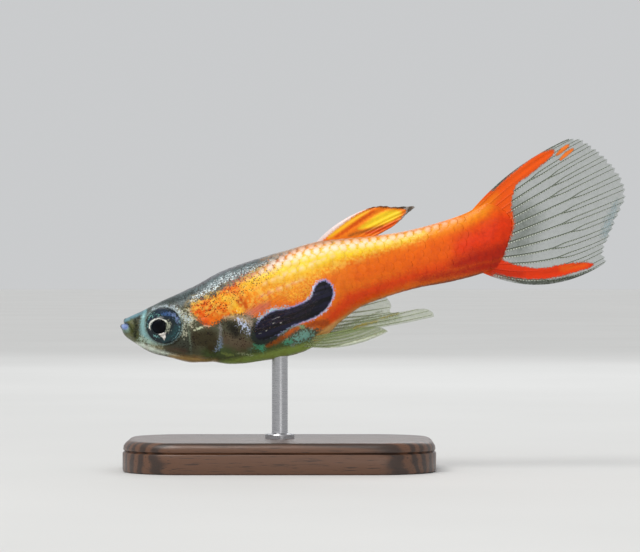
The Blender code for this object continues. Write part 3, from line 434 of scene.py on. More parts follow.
BODY_MARKINGS = [
    marking("crown", (78, 90, 88), 0.3, 0.3,
            [[(0.4, 0.45, 0.25), (1.5, 0.7, 0.3), (2.6, 0.9, 0.35), (3.8, 1.1, 0.4), (5.1, 1.5, 0.35)]],
            ),
    marking("nape", (98, 112, 114), 0.25, 0.4,
            [[(3.7, 0.75, 0.35), (5.1, 1.25, 0.45), (7.0, 1.7, 0.5), (9.4, 2.0, 0.34),
              (12.4, 2.35, 0.16)]]),
    marking("crown_dark", (48, 56, 54), 0.16, 0.9,
            [[(2.7, 0.98, 0.05), (3.3, 0.88, 0.16), (4.0, 0.8, 0.2), (4.5, 1.05, 0.1)],
             [(5.7, 0.75, 0.08), (6.2, 0.98, 0.1)]], cover=0.8),
    marking("snout_olive", (92, 98, 58), 0.16, 0.2,
            [[(0.62, 0.18, 0.24), (0.6, -0.3, 0.27), (0.78, -0.75, 0.25), (1.1, -1.1, 0.15)]]),
    # painted shade: a dark band behind the lips for the shadow of the jaw bone at the mouth's corner
    marking("mouth_corner_shade", (26, 32, 14), 0.14, 0.4,
            [[(0.94, 0.35, 0.07), (0.85, -0.15, 0.11), (0.68, -0.63, 0.12)]], cover=0.9),
    marking("jaw", (112, 118, 84), 0.14, 0.2,
            [[(0.25, -0.5, 0.14), (0.5, -0.9, 0.14), (0.75, -1.15, 0.08)]]),
    marking("cheek", (62, 66, 54), 0.3, 0.3, [[(2.9, -1.4, 0.5), (3.4, -1.8, 0.5), (3.6, -0.9, 0.35)]]),
    marking("cyan_bar", (150, 198, 200), 0.14, 0.2,
            [[(1.6, 0.7, 0.06), (1.4, 0.25, 0.12), (1.26, -0.19, 0.15), (1.2, -0.58, 0.17),
              (1.42, -1.02, 0.16), (1.75, -1.3, 0.1)]], metal=0.1, cover=0.95),
    marking("below_eye", (184, 210, 192), 0.14, 0.6,
            [[(1.0, -0.88, 0.12), (1.6, -1.22, 0.14), (2.1, -1.42, 0.08)]], cover=0.85),
    marking("chin", (236, 250, 234), 0.12, 0.2,
            [[(0.67, -1.07, 0.05), (0.92, -1.23, 0.12), (1.38, -1.54, 0.13), (1.9, -1.87, 0.1),
              (2.9, -2.4, 0.01)]]),
    marking("chin_cream", (186, 176, 132), 0.2, 0.2,
            [[(1.5, -1.4, 0.07), (2.0, -1.66, 0.09)]], cover=0.5),
    marking("throat_brown", (96, 62, 48), 0.2, 0.3,
            [[(2.4, -1.8, 0.08), (2.9, -1.98, 0.12), (3.3, -2.16, 0.1)]], cover=0.45),
    marking("throat_amber", (176, 146, 92), 0.18, 0.15,
            [[(2.4, -2.28, 0.14), (3.1, -2.6, 0.18), (3.9, -2.85, 0.22), (4.8, -3.15, 0.2)]]),
    marking("belly_shade", (78, 94, 56), 0.3, 0.4,
            [[(4.6, -2.6, 0.35), (6.8, -2.8, 0.5), (8.1, -3.2, 0.35), (9.0, -3.15, 0.25)]]),
    marking("belly_olive", (146, 170, 84), 0.2, 0.2,
            [[(5.2, -3.4, 0.18), (7.2, -3.56, 0.24), (8.5, -3.62, 0.29), (9.85, -3.6, 0.29),
              (10.9, -3.5, 0.2)]]),
    marking("belly_line", (118, 94, 70), 0.08, 0.1,
            [[(4.4, -3.15, 0.03), (5.6, -3.6, 0.05), (7.1, -3.86, 0.06), (8.4, -3.92, 0.06),
              (10.4, -3.82, 0.05)]], cover=0.8),
    marking("gill_shade", (60, 54, 32), 0.22, 0.4,
            [[(4.3, -1.6, 0.45), (4.8, -1.8, 0.55), (4.9, -2.3, 0.3)]]),
    marking("cheek_silver", (190, 192, 168), 0.1, 0.9,
            [[(3.4, 0.3, 0.02), (3.6, 0.05, 0.14), (3.78, -0.3, 0.22), (4.0, -0.66, 0.14)],
             [(4.1, 0.05, 0.12), (4.15, -0.4, 0.14)],
             [(3.57, -0.8, 0.08), (3.5, -1.2, 0.05)]], metal=0.15),
    marking("gill_arc", (214, 222, 190), 0.04, 0.22,
            [[(4.14, -1.12, 0.03), (4.46, -1.04, 0.06), (4.74, -1.01, 0.06), (5.1, -1.08, 0.02)]],
            metal=0.3),
    marking("gill_edge_pale", (164, 162, 160), 0.1, 0.3,
            [[(5.66, -1.05, 0.03), (5.6, -1.46, 0.07), (5.5, -1.83, 0.06)]], metal=0.1, cover=0.75),
    marking("gill_edge", (158, 184, 214), 0.07, 0.5,
            [[(5.52, -1.9, 0.05), (5.42, -2.2, 0.1), (5.3, -2.4, 0.06), (5.0, -2.58, 0.02)]],
            metal=0.1, cover=0.9),
    marking("pelvic_root", (126, 140, 76), 0.07, 0.2,
            [[(5.35, -2.75, 0.04), (5.65, -2.95, 0.07), (5.95, -3.0, 0.03)]]),
    marking("teal_sheen", (88, 128, 112), 0.1, 0.5,
            [[(6.75, -2.6, 0.06), (7.0, -2.95, 0.12)]], cover=0.8),
    marking("belly_gleam", (160, 176, 134), 0.05, 0.3,
            [[(6.2, -2.98, 0.02), (6.6, -3.1, 0.05), (7.0, -3.33, 0.03)]]),
    marking("cheek_line", (126, 140, 118), 0.06, 0.15,
            [[(3.86, -0.5, 0.04), (3.79, -1.15, 0.05), (3.72, -1.73, 0.035), (3.62, -2.15, 0.02)]],
            metal=0.1, cover=0.8),
    marking("shoulder_brown", (98, 86, 66), 0.3, 0.4,
            [[(5.9, -2.1, 0.4), (6.5, -2.5, 0.45), (7.0, -2.6, 0.3)]]),
    marking("flank", (238, 116, 10), 0.1, 0.6, [ORANGE_FLANK]),
    marking("front_deep", (232, 98, 14), 0.3, 0.5,
            [[(4.5, 0.05, 0.2), (5.2, 0.0, 0.35), (5.7, -0.3, 0.25)]], cover=0.75),
    marking("red_front", (234, 76, 6), 0.3, 0.4,
            [[(4.6, -0.2, 0.1), (4.93, -0.5, 0.2), (4.9, -0.8, 0.16)]], cover=0.8),
    marking("flank_amber", (248, 152, 26), 0.45, 0.35,
            [[(7.9, 0.3, 0.4), (10.0, 0.0, 0.55), (11.6, 0.6, 0.4), (13.0, 0.7, 0.3)]], cover=0.85),
    marking("yellow_back", (252, 222, 40), 0.36, 0.4,
            [[(7.4, 0.75, 0.1), (8.4, 1.0, 0.35), (9.6, 0.95, 0.5), (11.0, 1.15, 0.64),
              (13.1, 1.35, 0.5), (15.4, 1.2, 0.32), (17.4, 1.16, 0.2), (19.0, 1.26, 0.08)]],
            cover=0.95),
    marking("golden_mottle", (252, 186, 52), 0.16, 1.6,
            [[(7.4, 0.5, 0.1), (8.6, 0.6, 0.3), (10.0, 0.45, 0.35), (11.2, 0.5, 0.2),
              (12.8, 0.7, 0.1)],
             [(9.9, -0.5, 0.1), (10.9, -0.5, 0.2), (11.3, 0.1, 0.1)]], cover=0.7),
    marking("nape_rust", (190, 74, 26), 0.12, 1.2,
            [[(6.6, 0.9, 0.03), (7.4, 1.05, 0.1), (8.3, 1.22, 0.1), (9.4, 1.56, 0.08),
              (10.2, 1.8, 0.03)]], cover=0.8),
    marking("stalk_red", (234, 56, 0), 0.95, 0.3,
            [[(17.0, -0.5, 0.1), (18.4, -0.4, 0.5), (19.8, -0.2, 0.8), (20.9, 0.0, 1.0),
              (22.0, 0.1, 1.2), (23.0, 0.2, 1.4)]]),
    marking("rear_orange", (242, 102, 2), 0.5, 0.4,
            [[(14.0, -0.3, 0.4), (16.0, -0.2, 0.6), (19.0, 0.0, 0.7)]], cover=0.8),
    marking("lower_red", (236, 70, 0), 0.35, 0.4,
            [[(11.9, -2.25, 0.3), (13.3, -1.5, 0.4), (15.8, -1.2, 0.36), (17.4, -1.05, 0.3),
              (19.0, -1.0, 0.3)]]),
    marking("stalk_deep_red", (186, 34, 0), 0.4, 0.3,
            [[(19.6, -1.0, 0.3), (21.1, -0.87, 0.5), (22.0, -0.95, 0.55), (22.7, -0.8, 0.4)],
             [(17.5, -1.36, 0.1), (19.5, -1.42, 0.24), (21.0, -1.46, 0.38), (22.4, -1.6, 0.46)]]),
    marking("stalk_amber", (248, 148, 10), 0.4, 0.25,
            [[(18.8, 1.2, 0.24), (20.3, 1.36, 0.3), (21.2, 1.56, 0.32), (21.9, 1.66, 0.24),
              (22.3, 1.8, 0.06)]]),
    marking("rust", (176, 74, 8), 0.16, 0.3,
            [[(10.58, -2.35, 0.13), (11.03, -2.36, 0.2), (11.6, -2.5, 0.24)]]),
    marking("peach_edge", (234, 176, 98), 0.12, 0.15,
            [[(10.75, -3.3, 0.14), (11.3, -3.06, 0.22), (12.0, -2.78, 0.18), (12.7, -2.52, 0.16),
              (13.3, -2.28, 0.12), (13.9, -2.12, 0.08)]]),
    marking("peach_line", (222, 132, 62), 0.1, 0.15,
            [[(13.1, -2.26, 0.12), (14.5, -1.9, 0.12), (16.4, -1.74, 0.08)]]),
    marking("underline", (140, 66, 18), 0.08, 0.1,
            [[(14.0, -2.06, 0.03), (15.4, -1.88, 0.06), (17.2, -1.78, 0.1), (18.6, -1.82, 0.09),
              (19.7, -1.88, 0.1), (21.0, -1.84, 0.1)]]),
    marking("shoulder_yellow", (254, 192, 48), 0.16, 0.7,
            [[(6.2, 0.3, 0.2), (6.65, 0.1, 0.24), (6.75, -0.3, 0.22), (6.98, -0.62, 0.14)],
             [(5.5, 0.2, 0.1), (5.8, 0.35, 0.12)],
             [(6.5, -0.86, 0.06), (6.65, -0.88, 0.06)]]),
    marking("burnt_notch", (206, 90, 6), 0.14, 0.2, [[(7.1, -0.1, 0.2), (7.35, -0.5, 0.14)]]),
    marking("fin_root", (216, 112, 78), 0.2, 0.15,
            [[(7.5, -0.85, 0.14), (7.95, -0.8, 0.24), (8.5, -0.66, 0.2)]]),
    marking("beige_shoulder", (192, 166, 128), 0.14, 0.3,
            [[(6.0, -0.85, 0.08), (6.58, -0.95, 0.12), (6.99, -1.15, 0.18), (7.31, -1.33, 0.12)]]),
    marking("fin_foot", (168, 162, 150), 0.1, 0.5, [[(7.3, -1.24, 0.08), (7.38, -1.6, 0.08)]]),
    marking("shoulder_patch", (26, 22, 12), 0.26, 0.4,
            [[(6.2, -1.2, 0.16), (6.31, -1.5, 0.32), (6.4, -1.85, 0.24)]], cover=0.95),
    marking("shoulder_line", (206, 218, 244), 0.04, 1.1,
            [[(6.73, -1.08, 0.04), (6.88, -1.36, 0.08), (7.05, -1.68, 0.09), (7.19, -1.95, 0.03)]],
            metal=0.1),
    marking("back_ridge", (112, 114, 120), 0.1, 0.15,
            [[(3.8, 1.2, 0.08), (5.24, 1.5, 0.1), (6.7, 1.86, 0.1), (8.1, 2.04, 0.1), (9.5, 2.16, 0.08),
              (11.2, 2.34, 0.06)]]),
    marking("ridge_pale", (170, 138, 108), 0.16, 0.5,
            [[(8.8, 1.9, 0.04), (10.4, 2.1, 0.14), (11.9, 2.2, 0.18), (14.7, 1.95, 0.12),
              (17.1, 1.7, 0.09), (19.5, 1.74, 0.08)]], cover=0.8),
    marking("teal_dark", (84, 172, 134), 0.12, 0.6,
            [[(7.45, -2.78, 0.16), (7.78, -2.82, 0.2)], [(7.6, -3.0, 0.16), (7.72, -3.12, 0.08)]],
            metal=0.1),
    marking("teal", (124, 178, 164), 0.14, 0.9,
            [[(9.75, -2.98, 0.2), (10.42, -2.88, 0.24)]], metal=0.1),
    marking("teal_green", (92, 176, 142), 0.1, 0.5,
            [[(9.1, -3.0, 0.14), (9.35, -3.06, 0.14)]], metal=0.1),
    marking("teal_grey", (140, 162, 160), 0.08, 0.3,
            [[(9.4, -3.27, 0.06), (9.5, -3.27, 0.06)]], cover=0.8),
    marking("mint", (134, 172, 124), 0.1, 0.3, [[(9.7, -2.22, 0.05), (10.25, -2.36, 0.12)]]),
    marking("rust_band", (152, 78, 8), 0.12, 0.3,
            [[(8.0, -2.92, 0.12), (8.5, -2.8, 0.16), (9.0, -2.7, 0.14)]]),
    marking("rust_bright", (204, 94, 14), 0.12, 0.3,
            [[(9.2, -2.6, 0.12), (9.64, -2.4, 0.16), (9.96, -2.36, 0.06)]]),
    marking("comma_rim", (162, 170, 230), 0.06, 0.26, [COMMA], grow=0.08),
    marking("comma_rim_white", (222, 230, 250), 0.03, 0.34,
            [[(11.26, -0.62, 0.02), (11.42, -0.26, 0.03), (11.72, -0.02, 0.02)],
             [(12.47, -0.8, 0.01), (12.12, -1.46, 0.03), (11.64, -1.82, 0.04), (11.0, -2.04, 0.03),
              (10.1, -2.12, 0.02)]]),
    marking("comma_rim_front", (172, 206, 222), 0.06, 0.8,
            [[(7.9, -1.36, 0.05), (8.3, -1.16, 0.08), (8.9, -1.04, 0.08), (9.6, -1.1, 0.05)]]),
    marking("comma_under", (120, 142, 132), 0.08, 0.5,
            [[(8.9, -2.44, 0.08), (9.3, -2.3, 0.1), (9.7, -2.18, 0.06)]]),
    marking("comma_gap", (34, 44, 38), 0.08, 0.3,
            [[(7.64, -1.5, 0.08), (7.48, -1.86, 0.16), (7.46, -2.3, 0.28), (7.6, -2.6, 0.26),
              (8.1, -2.7, 0.18), (8.6, -2.6, 0.12)]]),
    marking("comma_rim_bend", (210, 226, 250), 0.05, 0.3,
            [[(10.7, -0.99, 0.02), (11.12, -0.86, 0.07), (11.36, -0.3, 0.05)]]),
    marking("comma", (5, 6, 15), 0.05, 0.16, [COMMA], streaks=(26, 26, 50)),
    # painted highlights of the pectoral rays over the comma
    marking("comma_ray_highlights", (206, 208, 200), 0.02, 0.06,
            [[(x, z, 0.002), (x + 0.12, z, 0.024), (x + 0.26, z + 0.01, 0.002)]
             for x, z in COMMA_RAY_HIGHLIGHTS]),
    # painted highlight: a pale blue line of light along the top of the snout
    marking("snout_top_highlight", (112, 158, 172), 0.09, 0.15,
            [[(0.26, 0.32, 0.05), (0.42, 0.4, 0.08), (0.6, 0.47, 0.1), (0.83, 0.52, 0.1),
              (1.2, 0.56, 0.09), (1.6, 0.64, 0.05)]], cover=0.85),
    marking("lip_under", (124, 152, 136), 0.1, 0.15, [[(0.2, -0.12, 0.2), (0.3, -0.14, 0.18)]]),
    marking("lip", (146, 166, 212), 0.07, 0.1, [[(0.19, 0.04, 0.17), (0.26, 0.02, 0.17)]]),
    marking("lip_core", (96, 120, 180), 0.08, 0.1, [[(0.24, 0.0, 0.06), (0.3, -0.02, 0.06)]]),
    marking("eye_edge", (132, 160, 160), 0.05, 0.2, [EYE_EDGE], metal=0.1, cover=0.8),
    marking("brow_flecks", (180, 194, 202), 0.08, 0.5,
            [[(2.1, 0.66, 0.03), (2.8, 0.62, 0.07), (3.2, 0.44, 0.08), (3.45, 0.18, 0.04)]], cover=0.8),
]
FIELD_REACH, DENSITY_EDGE = 3, (-0.35, 0.25)
# Where the black freckles and the silver flecks are thick, and where the skin is grainy with light specks
FRECKLED = [[(4.3, 0.1, 0.55), (5.6, 0.2, 0.85), (7.0, 0.5, 0.65), (9.0, 1.2, 0.4), (10.2, 1.6, 0.2)],
            [(4.2, 0.6, 0.3), (5.9, 0.9, 0.3), (7.2, 1.3, 0.25), (8.8, 1.6, 0.2)],
            [(5.9, -1.2, 0.4), (6.35, -1.7, 0.75), (6.7, -2.4, 0.4)],
            [(1.8, 0.8, 0.1), (2.6, 1.0, 0.25), (4.0, 1.1, 0.4), (5.4, 1.5, 0.3)],
            [(3.2, -1.6, 0.4), (4.5, -1.7, 0.5), (5.0, -1.6, 0.3)],
            [(0.8, 0.1, 0.2), (0.8, -0.6, 0.25)],
            [(3.4, 0.4, 0.3), (4.0, -0.2, 0.3)],
            [(1.1, -0.9, 0.1), (2.1, -1.4, 0.1)]]
FLECKED = [[(4.25, 0.55, 0.1), (4.65, 0.7, 0.26), (5.0, 0.86, 0.2), (5.7, 1.08, 0.34), (6.2, 1.3, 0.26),
            (6.85, 1.46, 0.34), (7.2, 1.46, 0.26), (8.0, 1.56, 0.28), (8.8, 1.7, 0.14), (9.6, 1.86, 0.06)],
           [(3.4, 0.3, 0.2), (3.9, -0.4, 0.3)]]
SPECKLED = [[(4.6, 0.2, 0.5), (6.5, 0.1, 0.8), (9.0, 0.6, 0.9), (12.0, 1.1, 0.8), (15.0, 1.2, 0.5),
             (18.0, 1.1, 0.3)]]


def field_of(shapes, x, z):
    """How far inside the nearest of its shapes each place lies."""
    inside = np.full(np.shape(x), -99.0)
    for shape in shapes:
        field = stroke_field(x, z, shape) if len(shape[0]) == 3 else area_field(x, z, rounded_outline(shape))
        inside = np.maximum(inside, field)
    return inside


def note(piece, name, values):
    """Keeps one number for each point of a piece, for its material to read."""
    attribute = piece.data.attributes.new(name, "FLOAT", "POINT")
    attribute.data.foreach_set("value", np.asarray(values, np.float32).ravel())


def note_markings(piece, markings, x, z, **densities):
    """Keeps, for each point, how far inside each marking it is, and how thick the freckles are there."""
    for mark in markings:
        inside = field_of(mark["shapes"], x, z) + mark["grow"]
        note(piece, mark["name"], np.clip(inside, -FIELD_REACH, FIELD_REACH))
    for name, strokes in densities.items():
        note(piece, name, ease(field_of(strokes, x, z), *DENSITY_EDGE))


def mix_values(tree, factor, first, second):
    mixed = add_node(tree, "Mix", {0: factor, 2: first, 3: second}, data_type="FLOAT")
    return mixed.outputs[0]


def maths(tree, operation, first, second=0.0, third=0.0):
    return add_node(tree, "Math", {0: first, 1: second, 2: third}, operation=operation).outputs[0]


def attribute(tree, name):
    """The number that note() kept at each point."""
    return add_node(tree, "Attribute", attribute_name=name).outputs["Fac"]


def new_group(name, outputs):
    """A shader node group with the given outputs, and its output node."""
    group = bpy.data.node_groups.new(name, "ShaderNodeTree")
    for socket, kind in outputs:
        group.interface.new_socket(name=socket, in_out="OUTPUT", socket_type="NodeSocket" + kind)
    return group, group.nodes.new("NodeGroupOutput")


STREAK_STRETCH, STREAK_LEAN_DEG = (0.35, 1.0, 4.5), 6.0
BRUSH_STRETCH, BRUSH_LEAN_DEG = (2.8, 1.0, 0.9), -12.0
FRECKLES_PER_MM, FRECKLE_REACH, FLECKS_PER_MM = 9.5, 0.42, 12.0


def fish_place(tree, stretch, turn_deg=0.0):
    """The place in the fish's own axes, in millimetres, turned and stretched for streaks along it."""
    place = add_node(tree, "TexCoord").outputs["Object"]
    turn = math.radians(HEAD_DOWN_DEG + turn_deg)
    level = add_node(tree, "Mapping", {"Vector": place, "Rotation": (0.0, turn, 0.0)}).outputs[0]
    scale = tuple(share / MM for share in stretch)
    return add_node(tree, "Mapping", {"Vector": level, "Scale": scale}).outputs[0]


def markings_group(name, markings, ground, ground_cover=1.0):
    """Paints the markings one over the other, and gives their colour, their silver and their cover."""
    group, given = new_group(name, (("Colour", "Color"), ("Silver", "Float"), ("Cover", "Float")))
    place = millimetre_place(group)
    grain = maths(group, "SUBTRACT", noise(group, place, GRAIN_PER_MM, 3.0, 0.7), 0.5)
    along_fish = fish_place(group, STREAK_STRETCH, STREAK_LEAN_DEG)
    streaks = fade(group, noise(group, along_fish, 1.0, 3.0), 0.42, 0.62)
    colour, silver, cover = pigment(*ground), 0.0, ground_cover
    for mark in markings:
        ragged = maths(group, "MULTIPLY_ADD", grain, 2 * mark["grain"], attribute(group, mark["name"]))
        share = fade(group, ragged, -mark["fade"], mark["fade"], 0.0, mark["cover"])
        dye = mark["colour"]
        if mark["streaks"]:
            dye = mix_colours(group, streaks, dye, pigment(*mark["streaks"]))
        colour = mix_colours(group, share, colour, dye)
        silver = mix_values(group, share, silver, mark["metal"])
        cover = mix_values(group, share, cover, 1.0)
    for value, output in ((colour, "Colour"), (silver, "Silver"), (cover, "Cover")):
        group.links.new(value, given.inputs[output])
    return group


def freckles_group():
    """Fine dark freckles and silver flecks, as two masks, thick where the piece's own numbers say so."""
    group, given = new_group("freckles", (("Black", "Float"), ("Silver", "Float")))
    place = millimetre_place(group)
    dots = add_node(group, "TexVoronoi", {"Vector": place, "Scale": FRECKLES_PER_MM}).outputs["Distance"]
    reach = fade(group, noise(group, place, 5.0, 2.0), 0.35, 0.6, 0.4 * FRECKLE_REACH, FRECKLE_REACH)
    reach = maths(group, "MULTIPLY", attribute(group, "freckled"), reach)
    flecks = maths(group, "SUBTRACT", noise(group, place, FLECKS_PER_MM, 3.0, 0.7),
                   fade(group, attribute(group, "flecked"), 0.0, 1.0, 0.84, 0.48))
    black = fade(group, maths(group, "SUBTRACT", reach, dots), -0.04, 0.08)
    for value, output in ((black, "Black"), (fade(group, flecks, 0.0, 0.09), "Silver")):
        group.links.new(value, given.inputs[output])
    return group


def use_group(tree, group):
    placed = tree.nodes.new("ShaderNodeGroup")
    placed.node_tree = group
    return placed


def dimmed(tree, amount, colour, by):
    """The colour darkened towards itself times another, as far as the amount says."""
    return add_node(tree, "Mix", {0: amount, 6: colour, 7: by}, data_type="RGBA",
                    blend_type="MULTIPLY").outputs[2]


def painted_hide(tree):
    """The colour and silver of the hide, with its freckles and flecks, for the skin and for the scales."""
    paint = use_group(tree, body_markings)
    spots = use_group(tree, freckles)
    place = millimetre_place(tree)
    brushed = fade(tree, noise(tree, fish_place(tree, BRUSH_STRETCH, BRUSH_LEAN_DEG), 1.0, 3.0),
                   0.45, 0.7, 0.0, 0.35)
    colour = dimmed(tree, brushed, paint.outputs["Colour"], (0.75, 0.5, 0.45, 1))
    grainy = fade(tree, noise(tree, place, 4.0, 3.0), 0.42, 0.66)
    specks = maths(tree, "MULTIPLY", grainy, attribute(tree, "speckled"))
    colour = mix_colours(tree, maths(tree, "MULTIPLY", specks, 0.6), colour, pigment(254, 206, 84))
    clouds = fade(tree, noise(tree, place, 6.0, 3.0), 0.42, 0.7, 0.0, 0.16)
    colour = dimmed(tree, clouds, colour, (0.5, 0.4, 0.35, 1))
    flecks = maths(tree, "MULTIPLY", spots.outputs["Silver"], 0.85)
    colour = mix_colours(tree, flecks, colour, pigment(198, 212, 216))
    colour = dimmed(tree, spots.outputs["Black"], colour, (0.26, 0.14, 0.12, 1))
    fleck_silver = maths(tree, "MULTIPLY", spots.outputs["Silver"], 0.25)
    silver = maths(tree, "MAXIMUM", paint.outputs["Silver"], fleck_silver)
    silver = maths(tree, "MULTIPLY", silver, maths(tree, "SUBTRACT", 1.0, spots.outputs["Black"]))
    return colour, silver


body_markings = markings_group("body_markings", BODY_MARKINGS, GROUND_COLOUR)
freckles = freckles_group()
note_markings(skin, BODY_MARKINGS, flat_skin[:, 0], flat_skin[:, 2], freckled=FRECKLED, flecked=FLECKED,
              speckled=SPECKLED)

hide, hide_tree, hide_shader = new_finish("wet_hide", {
    "Coat Weight": 0.14, "Coat Roughness": 0.12, "Coat IOR": 1.4, "Specular IOR Level": 0.14})
hide_place = millimetre_place(hide_tree)
hide_colour, hide_silver = painted_hide(hide_tree)
mottle = noise(hide_tree, hide_place, 3.2, 4.0)
mottled = fade(hide_tree, mottle, 0.35, 0.7, 0.0, 0.3)
hide_colour = dimmed(hide_tree, mottled, hide_colour, (0.5, 0.5, 0.45, 1))
fine_bump = add_node(hide_tree, "Bump", {"Strength": 0.35, "Distance": 0.02 * MM,
                                         "Height": noise(hide_tree, hide_place, 14.0, 3.0)})
soft_bump = add_node(hide_tree, "Bump", {"Strength": 0.5, "Distance": 0.05 * MM,
                                         "Height": noise(hide_tree, hide_place, 4.0, 2.0),
                                         "Normal": fine_bump.outputs[0]})
for value, key in ((hide_colour, "Base Color"), (hide_silver, "Metallic"),
                   (fade(hide_tree, mottle, 0.3, 0.7, 0.3, 0.42), "Roughness"),
                   (soft_bump.outputs[0], "Normal")):
    hide_tree.links.new(value, hide_shader.inputs[key])
skin.data.materials.append(hide)

# Scales. Thin, bony, overlapping discs in rows that run along the fish, each with its root sunk in
# the skin and its rounded rear edge free. They start behind the head and shrink towards the tail.
SCALE_PITCH, ROW_PITCH = 0.52, 0.46
SCALE_FRONT, SCALE_REAR, SCALE_HALF = 0.36, 0.46, 0.41
SCALE_RINGS = (0.3, 0.55, 0.75, 0.9, 1.0)
SCALE_SPOKES = 24
SCALE_THICKNESS, SCALE_DOME, SCALE_LIFT = 0.016, 0.022, 0.034
# The painted highlight on each scale: its middle, and its half length and half width
GLINT_AT, GLINT_HALF = (0.2, 0.0), (0.19, 0.34)
COAT_FROM = [(-3.9, 7.5), (-2.4, 7.3), (-0.9, 6.5), (0.0, 5.3), (0.5, 4.6), (1.1, 4.3), (2.0, 4.5)]
FRONT_FLATTENED, END_FLATTENED = [(0.0, 0.3), (1.6, 1.0)], [(15.0, 1.0), (19.0, 0.6), (21.6, 0.3)]
SCALE_SIZES = [(4.2, 0.75), (6.4, 1.0), (12.0, 1.0), (20.0, 0.95), (22.5, 0.78)]
FLANK_FIRST, BELLY_FIRST, COAT_ENDS, BELLY_GAP = 4.05, 6.6, 21.6, 0.3
SIZE_JITTER, LEAN_JITTER, BACK_JITTER, DOWN_JITTER, DEPTH_JITTER = 0.04, 0.05, 0.02, 0.015, 0.006
# The body's surface as a table: distance from the snout by length down from the back
SPREAD_FROM, SPREAD_TO, SPREAD_PITCH, SPREAD_TURNS = 3.6, 23.2, 0.08, 720
SPREAD_STEP, SPREAD_REACH = 0.05, 8.4
BAKE_PATCH, FISH_LENGTH = 0.003, 31.0
# Rows high on the flank carry painted highlights: a pinkish pearl of light near the middle of each scale
PEARL_HIGHLIGHTS = [[(7.5, 0.98, -0.26), (8.2, 1.14, -0.1), (8.8, 1.3, 0.06), (9.5, 1.5, 0.2), (11.1, 1.72, 0.24),
           (13.5, 1.66, 0.2), (15.8, 1.4, 0.1), (18.2, 1.4, 0.0), (20.4, 1.56, -0.1)],
          [(8.0, 0.4, -0.24), (8.8, 0.6, -0.14), (10.0, 0.8, -0.06), (11.4, 1.0, -0.04), (13.0, 1.2, -0.12)],
          [(8.2, -0.1, -0.16), (9.6, 0.1, -0.12), (11.0, 0.3, -0.16)]]
# On the nape and along the ridge the scales have dark edges
EDGED = [[(4.4, 0.9, 0.3), (6.4, 1.4, 0.35), (8.6, 1.75, 0.35), (10.4, 2.05, 0.2), (13.0, 2.0, 0.02)]]

spread_x = np.arange(SPREAD_FROM, SPREAD_TO, SPREAD_PITCH)
spread_turns = np.linspace(0, 1, SPREAD_TURNS + 1)
spread_points = body_points(spread_x[:, None], spread_turns[None, :])
girth_steps = np.linalg.norm(np.diff(spread_points, axis=1), axis=2)
girth = np.concatenate([np.zeros((len(spread_x), 1)), np.cumsum(girth_steps, axis=1)], axis=1)
half_girth = girth[:, SPREAD_TURNS // 2]
spread_down = np.arange(0, SPREAD_REACH, SPREAD_STEP)
spread = np.array([[np.interp(spread_down, row, line) for line in ring.T]
                   for row, ring in zip(girth, spread_points)]).transpose(0, 2, 1)
spread_normals = np.cross(np.gradient(spread, axis=0), np.gradient(spread, axis=1))
spread_normals /= np.maximum(np.linalg.norm(spread_normals, axis=-1, keepdims=True), 1e-9)


def read_spread(table, x, down):
    """Reads a table over the body at distances x and at lengths down from the back, past it if below 0."""
    column = np.clip((x - spread_x[0]) / (spread_x[1] - spread_x[0]), 0, len(spread_x) - 1.001)
    row = np.clip(np.abs(down) / SPREAD_STEP, 0, len(spread_down) - 1.001)
    i, j = column.astype(int), row.astype(int)
    s, t = (column - i)[..., None], (row - j)[..., None]
    value = ((1 - s) * (1 - t) * table[i, j] + s * (1 - t) * table[i + 1, j]
             + (1 - s) * t * table[i, j + 1] + s * t * table[i + 1, j + 1])
    value[..., 1] *= np.where(down < 0, -1, 1)
    return value


def scale_shape():
    """One scale: points (back, across, out) in millimetres, how far each is from its middle, and faces."""
    spokes = np.arange(SCALE_SPOKES) / SCALE_SPOKES * 2 * math.pi
    points, from_middle = [[0, 0, SCALE_DOME]], [0.0]
    for share in SCALE_RINGS:
        for turn in spokes:
            long = SCALE_REAR if math.cos(turn) > 0 else SCALE_FRONT
            edge = -SCALE_THICKNESS * 0.5 if share == 1.0 else 0.0
            points.append([long * share * math.cos(turn), SCALE_HALF * share * math.sin(turn),
                           SCALE_DOME * (1 - share ** 2) + edge])
            from_middle.append(share)
    points += [[p[0] * 0.97, p[1] * 0.97, -SCALE_THICKNESS] for p in points[-SCALE_SPOKES:]]
    points.append([0, 0, SCALE_DOME - 2 * SCALE_THICKNESS])
    from_middle += [1.0] * SCALE_SPOKES + [0.0]
    points = np.array(points)
    points[:, 2] += SCALE_LIFT * (points[:, 0] + SCALE_FRONT) / (SCALE_FRONT + SCALE_REAR)
    rings = len(SCALE_RINGS) + 1
    faces = [list(face) for face in fan_faces(1, SCALE_SPOKES, 0)]
    faces += [list(face) for face in tube_faces(rings, SCALE_SPOKES, 1)[:, ::-1]]
    under = 1 + (rings - 1) * SCALE_SPOKES
    faces += [list(face) for face in fan_faces(under, SCALE_SPOKES, len(points) - 1, turned=True)]
    return points, np.array(from_middle), faces


